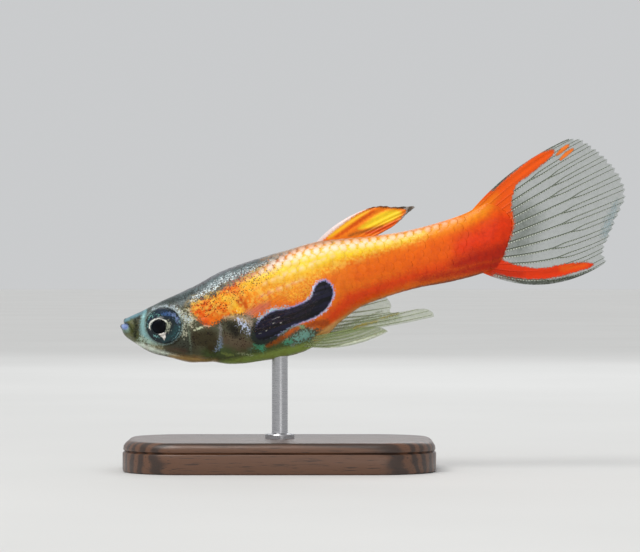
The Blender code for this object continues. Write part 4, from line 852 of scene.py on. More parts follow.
def make_coat(name, middles, hand):
    """Joins the scales at the given (distance, length down from the back) into one mesh on one side."""
    shape, from_middle, faces = scale_shape()
    draw = np.random.default_rng(7)
    tall, all_points, all_faces, bake, tints = len(shape), [], [], [], []
    # The shape of the painted highlight on each scale, highest at its middle
    glint_back = (shape[:, 0] - GLINT_AT[0]) / GLINT_HALF[0]
    glint_across = (shape[:, 1] - GLINT_AT[1]) / GLINT_HALF[1]
    glint = 1 - np.hypot(glint_back, glint_across)
    girth_at = np.interp([x for x, _ in middles], spread_x, half_girth)
    for (x, down), half in zip(middles, girth_at):
        height = float(read_spread(spread, np.array([x]), np.array([down]))[0, 2])
        from_front = x - float(smooth_through(COAT_FROM, height))
        size = np.interp(x, *zip(*SCALE_SIZES))
        size *= 1 + draw.uniform(-SIZE_JITTER, SIZE_JITTER)
        lean = draw.uniform(-LEAN_JITTER, LEAN_JITTER)
        flat = min(np.interp(from_front, *zip(*FRONT_FLATTENED)), np.interp(x, *zip(*END_FLATTENED)))
        local = shape * (size, size, flat)
        back = x + local[:, 0] - lean * local[:, 1] + draw.uniform(-BACK_JITTER, BACK_JITTER)
        around = down + local[:, 1] + lean * local[:, 0] + draw.uniform(-DOWN_JITTER, DOWN_JITTER)
        place = read_spread(spread, back, around)
        normal = read_spread(spread_normals, back, around)
        out = local[:, 2] - COAT_DEPTH + draw.uniform(0, DEPTH_JITTER)
        place = place + normal * out[:, None]
        place[:, 1] *= hand
        first = len(all_points) * tall
        all_points.append(place)
        turned = [[first + i for i in (face if hand > 0 else face[::-1])] for face in faces]
        all_faces += turned
        root = np.array([0.02 + 0.96 * x / FISH_LENGTH, 0.5 + 0.46 * hand * down / half])
        bake.append(root + BAKE_PATCH * local[:, :2] * (1, hand))
        tints.append(np.full(tall, draw.uniform(0, 1)))
    points = np.concatenate(all_points)
    coat = place_piece(name, swayed(points), all_faces)
    note_markings(coat, BODY_MARKINGS, points[:, 0], points[:, 2], freckled=FRECKLED, flecked=FLECKED,
                  speckled=SPECKLED, pearly=PEARL_HIGHLIGHTS, edged=EDGED)
    note(coat, "tint", np.concatenate(tints))
    note(coat, "from_middle", np.tile(from_middle, len(middles)))
    note(coat, "glint", np.tile(np.clip(glint, -1, 1), len(middles)))
    unwrap = coat.data.uv_layers.new(name="OFBake")
    corners = np.zeros(len(coat.data.loops), int)
    coat.data.loops.foreach_get("vertex_index", corners)
    unwrap.data.foreach_set("uv", np.concatenate(bake)[corners].astype(np.float32).ravel())
    return coat


scale_finish, scale_tree, scale_shader = new_finish("scales", {
    "Coat Weight": 0.16, "Coat Roughness": 0.15, "Coat IOR": 1.45, "Specular IOR Level": 0.15})
scale_colour, scale_silver = painted_hide(scale_tree)
tint, share = attribute(scale_tree, "tint"), attribute(scale_tree, "from_middle")
edge_depth = fade(scale_tree, attribute(scale_tree, "edged"), 0.0, 1.0, 0.03, 0.6)
at_edge = maths(scale_tree, "MULTIPLY", fade(scale_tree, share, 0.62, 1.0), edge_depth)
scale_colour = dimmed(scale_tree, at_edge, scale_colour, (0.4, 0.25, 0.2, 1))
tinted = maths(scale_tree, "MULTIPLY", tint, 0.2)
scale_colour = dimmed(scale_tree, tinted, scale_colour, (0.6, 0.5, 0.45, 1))
scale_place = millimetre_place(scale_tree)
uneven = maths(scale_tree, "MULTIPLY_ADD", noise(scale_tree, scale_place, 6.0, 3.0), 2.0, -1.0)
# Painted highlights: a pinkish-white pearl near the middle of each scale in the rows high on the flank
glint = maths(scale_tree, "ADD", attribute(scale_tree, "glint"), uneven)
glint = fade(scale_tree, glint, -0.5, 0.6, 0.0, 0.85)
pearly = maths(scale_tree, "MULTIPLY", attribute(scale_tree, "pearly"), glint)
scale_colour = mix_colours(scale_tree, pearly, scale_colour, pigment(252, 234, 216))
scale_bump = add_node(scale_tree, "Bump", {"Strength": 0.3, "Distance": 0.008 * MM,
                                           "Height": noise(scale_tree, scale_place, 16.0, 2.0)})
scale_wear = fade(scale_tree, noise(scale_tree, scale_place, 2.5), 0.3, 0.7, 0.34, 0.46)
for value, key in ((scale_colour, "Base Color"), (scale_silver, "Metallic"), (scale_wear, "Roughness"),
                   (scale_bump.outputs[0], "Normal")):
    scale_tree.links.new(value, scale_shader.inputs[key])

rows_down = int(SPREAD_REACH / ROW_PITCH)
side_scales, middle_scales = [], []
for row in range(rows_down):
    for step in range(int((COAT_ENDS - FLANK_FIRST) / SCALE_PITCH) + 1):
        x = FLANK_FIRST + (step + 0.5 * (row % 2)) * SCALE_PITCH
        down = row * ROW_PITCH
        height = float(read_spread(spread, np.array([x]), np.array([down]))[0, 2])
        if x < float(smooth_through(COAT_FROM, height)) or x > COAT_ENDS:
            continue
        if down > float(np.interp(x, spread_x, half_girth)) - BELLY_GAP * ROW_PITCH:
            continue
        (middle_scales if row == 0 else side_scales).append((x, down))
for step in range(int((COAT_ENDS - BELLY_FIRST) / SCALE_PITCH)):
    x = BELLY_FIRST + step * SCALE_PITCH
    middle_scales.append((x, float(np.interp(x, spread_x, half_girth))))
coats = [make_coat("scales_left", side_scales, -1), make_coat("scales_right", side_scales, 1),
         make_coat("scales_middle", middle_scales, 1)]
for coat in coats:
    coat.data.materials.append(scale_finish)

# Eyes. Each is a shallow dome turned a little forwards: a dark blue-green rim with cyan specks, a
# silver ring that is widest above and in front, a white drop below it, and a black lens in the pupil.
# The ring's bright front and dull rear, the white drop, the glints and the pale rim at the lower rear
# are painted highlights and painted shade.
EYE_RIM, EYE_TURN_DEG = 1.04, 11
PUPIL_AT, PUPIL_RADIUS = (-0.24, 0.01), 0.42
# The iris is domed by DOME_RISE, has a lip and a groove round the pupil, and bends in at its rim
IRIS_RINGS, IRIS_SPOKES = 40, 96
DOME_RISE, DOME_FLATNESS = 0.165, 2.6
PUPIL_LIP_RISE, PUPIL_LIP_AT, PUPIL_EDGE_DEPTH = 0.035, 0.12, 0.05
GROOVE_DEPTH, GROOVE_AT, IRIS_RELIEF_WIDTH = 0.03, 0.3, 0.08
RIM_DEPTH, RIM_FROM = 0.05, 0.93
IRIS_REAR, IRIS_REAR_SIZE, PUPIL_WELL, UNDER_LENS = -0.42, 0.92, -0.3, 0.02
LENS_RINGS, LENS_SPOKES, LENS_OVERLAP = 14, 48, 0.005
LENS_OUT, LENS_RISE, LENS_REAR = 0.08, 0.14, -0.25
RING_AT, RING_HALF, RING_POINTS = (EYE_AT[0] - 0.27, EYE_AT[1] + 0.02), (0.56, 0.44), 15


def ring_arc(from_deg, to_deg, low, high):
    """A stroke along part of the silver ring, thickest in its middle; 90 degrees is above the pupil."""
    lean = math.radians(HEAD_DOWN_DEG)
    turns = np.radians(np.linspace(from_deg, to_deg, RING_POINTS))
    widths = low + (high - low) * np.sin(np.linspace(0, math.pi, RING_POINTS))
    back, up = RING_HALF[0] * np.cos(turns), RING_HALF[1] * np.sin(turns)
    xs = RING_AT[0] + back * math.cos(lean) + up * math.sin(lean)
    zs = RING_AT[1] + up * math.cos(lean) - back * math.sin(lean)
    return list(zip(xs, zs, widths))


EYE_MARKINGS = [
    marking("iris_teal", (16, 66, 70), 0.2, 0.3,
            [[(3.2, -0.7, 0.14), (2.9, -1.1, 0.16), (2.3, -1.3, 0.1)]], cover=0.9),
    marking("iris_navy", (18, 40, 62), 0.15, 0.3,
            [[(1.75, 0.05, 0.14), (2.4, 0.4, 0.16), (3.0, 0.1, 0.2)]]),
    marking("iris_blue", (58, 94, 146), 0.1, 0.3,
            [[(2.5, 0.25, 0.03), (2.74, 0.2, 0.09), (2.98, 0.06, 0.04)]]),
    marking("iris_lavender", (104, 124, 168), 0.06, 0.6,
            [[(3.08, 0.16, 0.02), (3.28, -0.15, 0.05), (3.38, -0.5, 0.03)]]),
    marking("iris_glints", (104, 156, 150), 0.04, 0.6,
            [[(1.72, 0.22, 0.01), (2.04, 0.34, 0.03), (2.4, 0.24, 0.01)],
             [(1.56, -0.1, 0.02), (1.6, -0.2, 0.01)]]),
    marking("iris_cyan", (116, 170, 168), 0.04, 0.5, [[(1.88, -0.88, 0.03), (2.0, -0.98, 0.03)]]),
    # painted rim light: thin pale arcs along the lower rear edge of the eye
    marking("iris_rim_light", (108, 146, 150), 0.04, 0.15,
            [[(3.42, -0.3, 0.01), (3.38, -0.8, 0.03), (3.1, -1.2, 0.03), (2.7, -1.4, 0.01)]]),
    # The silver ring: duller behind the pupil as painted shade, and bright above and in front as a painted
    # highlight where the light falls
    marking("ring_shaded", (176, 180, 156), 0.05, 0.6, [ring_arc(-40, 50, 0.02, 0.09)]),
    marking("ring_silver_lit", (240, 240, 230), 0.03, 0.1, [ring_arc(40, 205, 0.02, 0.05)]),
    # the silver below the pupil, painted white as a highlight
    marking("white_drop_highlight", (240, 234, 226), 0.03, 0.06,
            [[(2.13, -0.84, 0.05), (2.46, -0.88, 0.05)],
             [(2.3, -0.93, 0.15), (2.33, -1.05, 0.11), (2.31, -1.24, 0.02)]]),
]
IRIS_SPECKS = [[(1.5, -0.9, 0.0), (2.5, -1.35, 0.0), (3.3, -0.8, 0.1), (3.2, 0.0, 0.1)]]


def in_socket(back, out, up, hand):
    """Turns a place in the eye, measured from its middle, into the fish's axes."""
    turn = math.radians(EYE_TURN_DEG)
    y = hand * (float(flank_y(*EYE_AT)) + back * math.sin(turn) + out * math.cos(turn))
    return np.stack([EYE_AT[0] + back * math.cos(turn) - out * math.sin(turn), y, EYE_AT[1] + up], -1)


def make_iris(hand_name, hand):
    """The eyeball's visible front, from the pupil's edge out to the socket, with a closed rear."""
    from_pupil = np.linspace(0, 1, IRIS_RINGS)[:, None]
    spokes = np.arange(IRIS_SPOKES)[None, :] / IRIS_SPOKES * 2 * math.pi
    radius = PUPIL_RADIUS - UNDER_LENS + (EYE_RIM - PUPIL_RADIUS + UNDER_LENS) * from_pupil
    back = PUPIL_AT[0] * (1 - from_pupil) + radius * np.cos(spokes)
    up = PUPIL_AT[1] * (1 - from_pupil) + radius * np.sin(spokes)
    dome = DOME_RISE * (1 - (np.hypot(back, up) / EYE_RIM) ** DOME_FLATNESS)
    lip = PUPIL_LIP_RISE * bump(from_pupil - PUPIL_LIP_AT, IRIS_RELIEF_WIDTH)
    lip = lip - PUPIL_EDGE_DEPTH * ease(from_pupil, 0.06, 0.0)
    groove = -GROOVE_DEPTH * bump(from_pupil - GROOVE_AT, IRIS_RELIEF_WIDTH)
    out = dome + lip + groove - RIM_DEPTH * ease(from_pupil, RIM_FROM, 1.0)
    front = in_socket(back, out, up, hand).reshape(-1, 3)
    rear = in_socket(back[-1] * IRIS_REAR_SIZE, np.full(IRIS_SPOKES, IRIS_REAR),
                     up[-1] * IRIS_REAR_SIZE, hand)
    inner = in_socket(back[0], np.full(IRIS_SPOKES, PUPIL_WELL), up[0], hand)
    points = np.concatenate([inner, front, rear])
    faces = tube_faces(IRIS_RINGS + 2, IRIS_SPOKES)
    last = (IRIS_RINGS + 1) * IRIS_SPOKES
    i = np.arange(IRIS_SPOKES)
    j = (i + 1) % IRIS_SPOKES
    faces = np.concatenate([faces, np.stack([last + i, last + j, j, i], -1)])
    if hand < 0:
        faces = faces[:, ::-1]
    iris = place_piece(f"iris_{hand_name}", swayed(points), list(faces), [f"eye_{hand_name}"])
    note_markings(iris, EYE_MARKINGS, points[:, 0], points[:, 2], flecked=IRIS_SPECKS, freckled=[])
    iris.data.materials.append(iris_finish)


def make_lens(hand_name, hand):
    """The lens, a glossy black dome in the pupil with a point at its front and one behind."""
    from_middle = np.linspace(1.0, 0.04, LENS_RINGS)[:, None]
    turn = np.arange(LENS_SPOKES)[None, :] / LENS_SPOKES * 2 * math.pi
    radius = (PUPIL_RADIUS + LENS_OVERLAP) * from_middle
    back, up = PUPIL_AT[0] + radius * np.cos(turn), PUPIL_AT[1] + radius * np.sin(turn)
    out = LENS_OUT + LENS_RISE * np.sqrt(np.maximum(1 - from_middle ** 2, 0)) + 0 * turn
    front = in_socket(back, out, up, hand).reshape(-1, 3)
    ends = in_socket(np.array([PUPIL_AT[0], PUPIL_AT[0]]), np.array([LENS_OUT + LENS_RISE, LENS_REAR]),
                     np.array([PUPIL_AT[1], PUPIL_AT[1]]), hand)
    points = np.concatenate([front, ends])
    count = LENS_RINGS * LENS_SPOKES
    faces = list(tube_faces(LENS_RINGS, LENS_SPOKES))
    faces += list(fan_faces(count - LENS_SPOKES, LENS_SPOKES, count))
    faces += list(fan_faces(0, LENS_SPOKES, count + 1, turned=True))
    if hand < 0:
        faces = [face[::-1] for face in faces]
    lens_piece = place_piece(f"eye_lens_{hand_name}", swayed(points), faces)
    lens_piece.data.materials.append(lens_finish)


iris_markings = markings_group("iris_markings", EYE_MARKINGS, (10, 28, 34))
iris_finish, iris_tree, iris_shader = new_finish("iris", {
    "Roughness": 0.3, "Coat Weight": 0.5, "Coat Roughness": 0.04, "Coat IOR": 1.4,
    "Specular IOR Level": 0.2})
iris_paint, iris_spots = use_group(iris_tree, iris_markings), use_group(iris_tree, freckles)
iris_grain = fade(iris_tree, noise(iris_tree, millimetre_place(iris_tree), 9.0, 4.0), 0.3, 0.7)
iris_grain = maths(iris_tree, "MULTIPLY", iris_grain, 0.35)
iris_colour = mix_colours(iris_tree, iris_grain, iris_paint.outputs["Colour"], pigment(10, 20, 24))
iris_flecks = maths(iris_tree, "MULTIPLY", iris_spots.outputs["Silver"], 0.18)
iris_colour = mix_colours(iris_tree, iris_flecks, iris_colour, pigment(96, 178, 190))
iris_tree.links.new(iris_colour, iris_shader.inputs["Base Color"])
iris_tree.links.new(iris_paint.outputs["Silver"], iris_shader.inputs["Metallic"])
lens_finish, lens_tree, lens_shader = new_finish("eye_lens", {
    "Coat Weight": 0.1, "Coat Roughness": 0.02, "Roughness": 0.3, "Specular IOR Level": 0.02})
lens_depth = fade(lens_tree, noise(lens_tree, millimetre_place(lens_tree), 2.0), 0.3, 0.7)
lens_tree.links.new(mix_colours(lens_tree, lens_depth, (0.002, 0.002, 0.003, 1), (0.004, 0.005, 0.008, 1)),
                    lens_shader.inputs["Base Color"])
for hand_name, hand in (("left", -1), ("right", 1)):
    make_iris(hand_name, hand)
    make_lens(hand_name, hand)

# Tail fin. A thin, clear, smoky membrane on fourteen jointed rays that fork halfway, with an orange
# band, the sword, along its upper and lower edge. It grows from the end of the tail stalk.
CAUDAL = {"root": [(20.9, 1.55), (21.7, 1.2), (22.15, 0.5), (22.15, -0.5), (21.7, -1.3), (21.0, -1.75)],
          "tips": [(27.35, 4.5), (28.15, 4.3), (28.7, 3.75), (29.2, 3.1), (29.65, 2.3), (29.95, 1.4),
                   (29.85, 0.45), (29.15, -0.5), (28.5, -1.4), (27.95, -2.15), (27.95, -2.95)],
          "rays": 14, "forks": 1, "tip_points": 0.2, "bow": (0.42, 0.95), "ray_radius": 0.052,
          "thickness": 0.05}
CAUDAL_MARKINGS = [
    marking("tail_smoke", (52, 60, 42), 0.9, 0.05,
            [[(23.2, 1.6, 0.6), (24.0, 0.6, 0.9), (23.4, -0.8, 0.6)]], cover=0.4),
    marking("tail_blue_tips", (188, 210, 224), 0.2, 0.6,
            [[(29.5, 0.3, 0.1), (28.9, -0.5, 0.16), (28.4, -1.3, 0.16)]], cover=0.5),
    marking("tail_fringe", (44, 46, 32), 0.1, 0.2,
            [[(22.3, 2.4, 0.05), (23.6, 3.22, 0.12), (25.1, 4.1, 0.14), (26.7, 4.46, 0.12),
              (27.8, 4.6, 0.06)],
             [(21.9, -2.2, 0.05), (23.4, -2.96, 0.12), (24.6, -3.22, 0.14), (26.4, -3.3, 0.13),
              (28.0, -3.14, 0.08)]], cover=0.75),
    marking("tail_flesh", (234, 80, 6), 0.12, 0.3,
            [[(20.0, 2.6), (21.4, 2.6), (22.8, 2.7), (24.07, 2.71), (23.67, 2.11), (23.54, 1.75),
              (23.56, 1.15), (23.54, 0.55), (23.27, 0.02), (22.9, -0.49), (22.55, -0.9), (22.4, -1.3),
              (21.6, -2.2), (20.0, -2.4)]]),
    marking("tail_flesh_deep", (176, 34, 2), 0.3, 0.2,
            [[(22.9, 0.4, 0.25), (22.3, -0.6, 0.4), (21.7, -1.6, 0.3)]]),
    marking("sword_above", (242, 88, 6), 0.06, 0.15,
            [[(22.0, 1.4), (21.9, 2.1), (22.76, 2.63), (23.34, 2.99), (23.91, 3.3), (24.47, 3.56),
              (25.04, 3.85), (25.58, 4.04), (26.11, 4.18), (26.72, 4.2), (26.74, 3.97), (26.4, 3.74),
              (25.95, 3.5), (25.39, 3.24), (24.83, 2.97), (24.41, 2.84), (24.11, 2.66), (23.9, 2.35),
              (23.7, 2.0), (23.5, 1.2)]]),
    marking("tail_glow", (246, 132, 12), 0.4, 0.2,
            [[(21.2, 1.9, 0.25), (22.2, 1.95, 0.26), (22.9, 2.4, 0.04)]]),
    marking("sword_stripes", (242, 124, 40), 0.05, 0.06,
            [[(26.8, 3.8, 0.07), (27.2, 4.03, 0.13), (27.56, 4.18, 0.08)],
             [(26.94, 3.5, 0.07), (27.36, 3.73, 0.12), (27.76, 3.91, 0.08)]]),
    marking("sword_below", (226, 54, 0), 0.06, 0.15,
            [[(21.3, -1.4), (22.0, -1.05), (22.63, -1.57), (23.6, -2.1), (24.53, -2.37), (25.31, -2.41),
              (25.91, -2.41), (26.67, -2.54), (27.5, -2.77), (27.16, -2.99), (26.56, -3.01),
              (25.96, -3.04), (25.35, -3.07), (24.39, -2.98), (23.45, -2.75), (22.54, -2.4),
              (21.76, -1.95), (21.3, -1.7)]]),
    marking("sword_below_tip", (238, 92, 8), 0.2, 0.2, [[(25.6, -2.66, 0.16), (26.9, -2.76, 0.1)]]),
    marking("sword_below_dark", (182, 34, 0), 0.3, 0.2,
            [[(21.6, -1.9, 0.2), (23.2, -2.4, 0.14)]], cover=0.8),
]
# The membrane's edge runs out in a point at the end of each ray, or of each prong of a forked ray
PRONG_AWAY, POINT_REACH, BOW_POWER = 0.2, 0.3, 1.5
MEMBRANE_SLACK, MEMBRANE_THINS = 0.3, 0.6
# Where rays fork a first and a second time, how much that wavers from ray to ray, and how far prongs part
FORKS_AT, FORKS_WAVER, PRONGS_APART = (0.52, 0.8), ((0.07, 2.3), (0.04, 1.7)), (0.2, 0.07)
FORK_OVERLAP, FORK_RUN, RAYS_END = 0.02, 0.14, 0.985
# A ray is wider in the fin's plane than across it, tapers, swells at its joints and slims at each fork
RAY_SPREAD, RAY_TAPER, RAY_SLIMS, JOINT_PITCH, JOINT_SWELL = 1.5, 0.72, 0.86, 0.16, 0.16
RAY_STEPS, FEWEST_STEPS = 150, 12


def along_outline(points, share):
    """The point at a share of the way along an outline of (x, z) points, counted by its points."""
    steps = np.linspace(0, 1, len(points))
    return np.stack([smooth_through(list(zip(steps, line)), share) for line in zip(*points)], -1)


def upright(x, z, across):
    """The place across the fish of a fin that stands in its middle plane."""
    return 0 * x


def fin_place(fin, across, along, lateral=upright):
    """The middle of the fin at a share across it, ray to ray, and a share along it, root to tip."""
    across, along = np.broadcast_arrays(np.asarray(across, float), np.asarray(along, float))
    roots, ends = along_outline(fin["root"], across), along_outline(fin["tips"], across)
    run = ends - roots
    length = np.linalg.norm(run, axis=-1, keepdims=True)
    phase = (across * fin["rays"]) % 1.0
    prong = np.abs(phase - 0.5) if fin["forks"] == 0 else np.abs(np.abs(phase - 0.5) - PRONG_AWAY)
    point = np.clip(1 - prong / POINT_REACH, 0, 1)[..., None]
    run = run * (1 + fin["tip_points"] * point / length)
    normal = np.stack([-run[..., 1], run[..., 0]], -1) / length
    above, below = fin["bow"]
    if fin.get("even_bow"):
        bow = above * (1 - across)
    else:
        bow = (above * np.clip(1 - 2 * across, 0, 1) ** BOW_POWER
               - below * np.clip(2 * across - 1, 0, 1) ** BOW_POWER)
    flat = roots + run * along[..., None] + normal * (bow * 4 * along * (1 - along))[..., None]
    return np.stack([flat[..., 0], lateral(flat[..., 0], flat[..., 1], across), flat[..., 1]], -1)


def make_membrane(name, fin, finish, markings, replaced, lateral=upright, rows=46, per_ray=10):
    """A thin closed sheet with a scalloped rim, a little slack between its rays."""
    columns = fin["rays"] * per_ray + 1
    across, along = np.linspace(0, 1, columns)[None, :], np.linspace(0, 1, rows)[:, None] ** 0.95
    middle = fin_place(fin, across, along, lateral)
    slack = MEMBRANE_SLACK * fin["thickness"] * np.cos(2 * math.pi * fin["rays"] * across)
    slack = slack * ease(along, 0.1, 0.6)
    half = fin["thickness"] / 2 * (1 - MEMBRANE_THINS * along) + 0 * across
    sheets = [middle + np.stack([0 * half, slack + side * half, 0 * half], -1) for side in (-1, 1)]
    points = np.concatenate([sheet.reshape(-1, 3) for sheet in sheets])
    count = rows * columns
    r, c = np.meshgrid(np.arange(rows - 1), np.arange(columns - 1), indexing="ij")
    a = (r * columns + c).ravel()
    near = np.stack([a, a + columns, a + columns + 1, a + 1], -1)
    faces = list(near) + list(near[:, ::-1] + count)
    rim = list(range(columns))
    rim += [r * columns + columns - 1 for r in range(1, rows)]
    rim += [(rows - 1) * columns + c for c in range(columns - 2, -1, -1)]
    rim += [r * columns for r in range(rows - 2, 0, -1)]
    faces += [np.array([p, q, count + q, count + p]) for p, q in zip(rim, rim[1:] + rim[:1])]
    sheet = place_piece(name, swayed(points), faces, replaced)
    note_markings(sheet, markings, points[:, 0], points[:, 2])
    note(sheet, "along", np.concatenate([(along + 0 * across).ravel()] * 2))
    sheet.data.materials.append(finish)
    return sheet


def ray_paths(fin):
    """Each ray and each prong it forks into: where it starts and ends along the fin, and its way across."""
    paths = []
    for ray in range(fin["rays"]):
        middle = (ray + 0.5) / fin["rays"]
        forks_at = [at + size * math.sin(pace * ray) for at, (size, pace) in zip(FORKS_AT, FORKS_WAVER)]
        spreads = [apart / fin["rays"] for apart in PRONGS_APART]
        ends = [(0.0, [])]
        for level in range(fin["forks"]):
            ends += [(forks_at[level], offsets + [(forks_at[level], side * spreads[level])])
                     for start, offsets in ends if len(offsets) == level for side in (-1, 1)]
        for start, offsets in ends:
            level = len(offsets)
            stop = forks_at[level] + FORK_OVERLAP if level < fin["forks"] else RAYS_END
            paths.append((level, start, stop, middle, offsets))
    return paths


def make_rays(name, fin, finish, markings, lateral=upright, sides=7):
    """Jointed rays, thin tubes that stand out a little on both faces of the membrane."""
    all_points, all_faces, upper, joints, reach = [], [], [], [], []
    first = 0
    for level, start, stop, middle, offsets in ray_paths(fin):
        steps = max(int(RAY_STEPS * (stop - start)), FEWEST_STEPS)
        along = np.linspace(start, stop, steps)
        across = middle + sum((shift * ease(along, at, at + FORK_RUN) for at, shift in offsets), 0 * along)
        path = fin_place(fin, across, along, lateral)
        run = np.gradient(path, axis=0)
        run /= np.linalg.norm(run, axis=1, keepdims=True)
        above = np.cross(run, np.broadcast_to([0.0, 1.0, 0.0], run.shape))
        above /= np.linalg.norm(above, axis=1, keepdims=True)
        aside = np.cross(run, above)
        distance = np.concatenate([[0], np.cumsum(np.linalg.norm(np.diff(path, axis=0), axis=1))])
        joint = np.cos(2 * math.pi * distance / JOINT_PITCH)
        radius = fin["ray_radius"] * (1 - RAY_TAPER * along) * RAY_SLIMS ** level
        radius = radius * (1 + JOINT_SWELL * joint)
        turn = np.arange(sides) / sides * 2 * math.pi
        ring = (RAY_SPREAD * above[:, None] * np.cos(turn)[None, :, None]
                + aside[:, None] * np.sin(turn)[None, :, None])
        points = path[:, None] + ring * radius[:, None, None]
        all_points.append(points.reshape(-1, 3))
        all_points.append(path[[0, -1]])
        upper.append(np.concatenate([np.broadcast_to(np.cos(turn), (steps, sides)).ravel(), [0, 0]]))
        joints.append(np.concatenate([np.repeat(joint, sides), [0, 0]]))
        reach.append(np.concatenate([np.repeat(along, sides), along[[0, -1]]]))
        count = steps * sides
        all_faces += list(tube_faces(steps, sides, first))
        all_faces += list(fan_faces(first, sides, first + count, turned=True))
        all_faces += list(fan_faces(first + count - sides, sides, first + count + 1))
        first += count + 2
    points = np.concatenate(all_points)
    rays = place_piece(name, swayed(points), all_faces)
    note_markings(rays, markings, points[:, 0], points[:, 2])
    for key, values in (("upper", upper), ("joint", joints), ("along", reach)):
        note(rays, key, np.concatenate(values))
    rays.data.materials.append(finish)
    return rays


SMOKE = (0.02, 0.02, 0.015, 1)


def membrane_finish(name, group):
    """A wet, clear sheet, as opaque as its markings make it, with a fine uneven grain."""
    finish, tree, shader = new_finish(name, {"Coat Weight": 0.08, "Coat Roughness": 0.2, "Roughness": 0.35,
                                            "Specular IOR Level": 0.15})
    paint = use_group(tree, group)
    place = millimetre_place(tree)
    streaks = fade(tree, noise(tree, place, 5.0, 4.0, 0.7), 0.3, 0.7)
    smoky = mix_colours(tree, 0.5, paint.outputs["Colour"], SMOKE)
    colour = mix_colours(tree, maths(tree, "MULTIPLY", streaks, 0.2), paint.outputs["Colour"], smoky)
    cover = maths(tree, "MULTIPLY", paint.outputs["Cover"], fade(tree, streaks, 0.0, 1.0, 0.8, 1.0))
    cover = maths(tree, "MAXIMUM", cover, fade(tree, paint.outputs["Cover"], 0.85, 1.0))
    bumps = add_node(tree, "Bump", {"Strength": 0.3, "Distance": 0.01 * MM, "Height": streaks})
    for value, key in ((colour, "Base Color"), (cover, "Alpha"), (bumps.outputs[0], "Normal")):
        tree.links.new(value, shader.inputs[key])
    return finish


def ray_finish(name, group, dark, light, clear_cover):
    """A horny ray: dark along its upper side, with a pale bead at each joint below, dyed by the markings."""
    finish, tree, shader = new_finish(name, {"Coat Weight": 0.08, "Coat Roughness": 0.2, "Roughness": 0.4,
                                            "Specular IOR Level": 0.15})
    paint = use_group(tree, group)
    # Painted highlights: pale beads at the joints on the lower side, where the shiny segments catch the
    # light; the dark upper side is the ray's own pigment
    bead_highlights = fade(tree, attribute(tree, "joint"), -0.6, 0.6, 0.35, 1.0)
    pale = maths(tree, "MULTIPLY", fade(tree, attribute(tree, "upper"), 0.35, -0.35), bead_highlights)
    horn = mix_colours(tree, pale, pigment(*dark), pigment(*light))
    dyed = fade(tree, paint.outputs["Cover"], 0.5, 0.95)
    soft_dye = mix_colours(tree, 0.12, paint.outputs["Colour"], SMOKE)
    colour = mix_colours(tree, dyed, horn, soft_dye)
    cover = mix_values(tree, dyed, clear_cover, 1.0)
    for value, key in ((colour, "Base Color"), (cover, "Alpha")):
        tree.links.new(value, shader.inputs[key])
    return finish


caudal_group = markings_group("tail_fin_markings", CAUDAL_MARKINGS, (92, 108, 86), 0.22)
caudal_sheet = membrane_finish("tail_membrane", caudal_group)
caudal_horn = ray_finish("tail_rays", caudal_group, (66, 72, 58), (224, 230, 216), 0.95)
make_membrane("tail_fin", CAUDAL, caudal_sheet, CAUDAL_MARKINGS, ["caudal_fin"])
make_rays("tail_fin_rays", CAUDAL, caudal_horn, CAUDAL_MARKINGS)

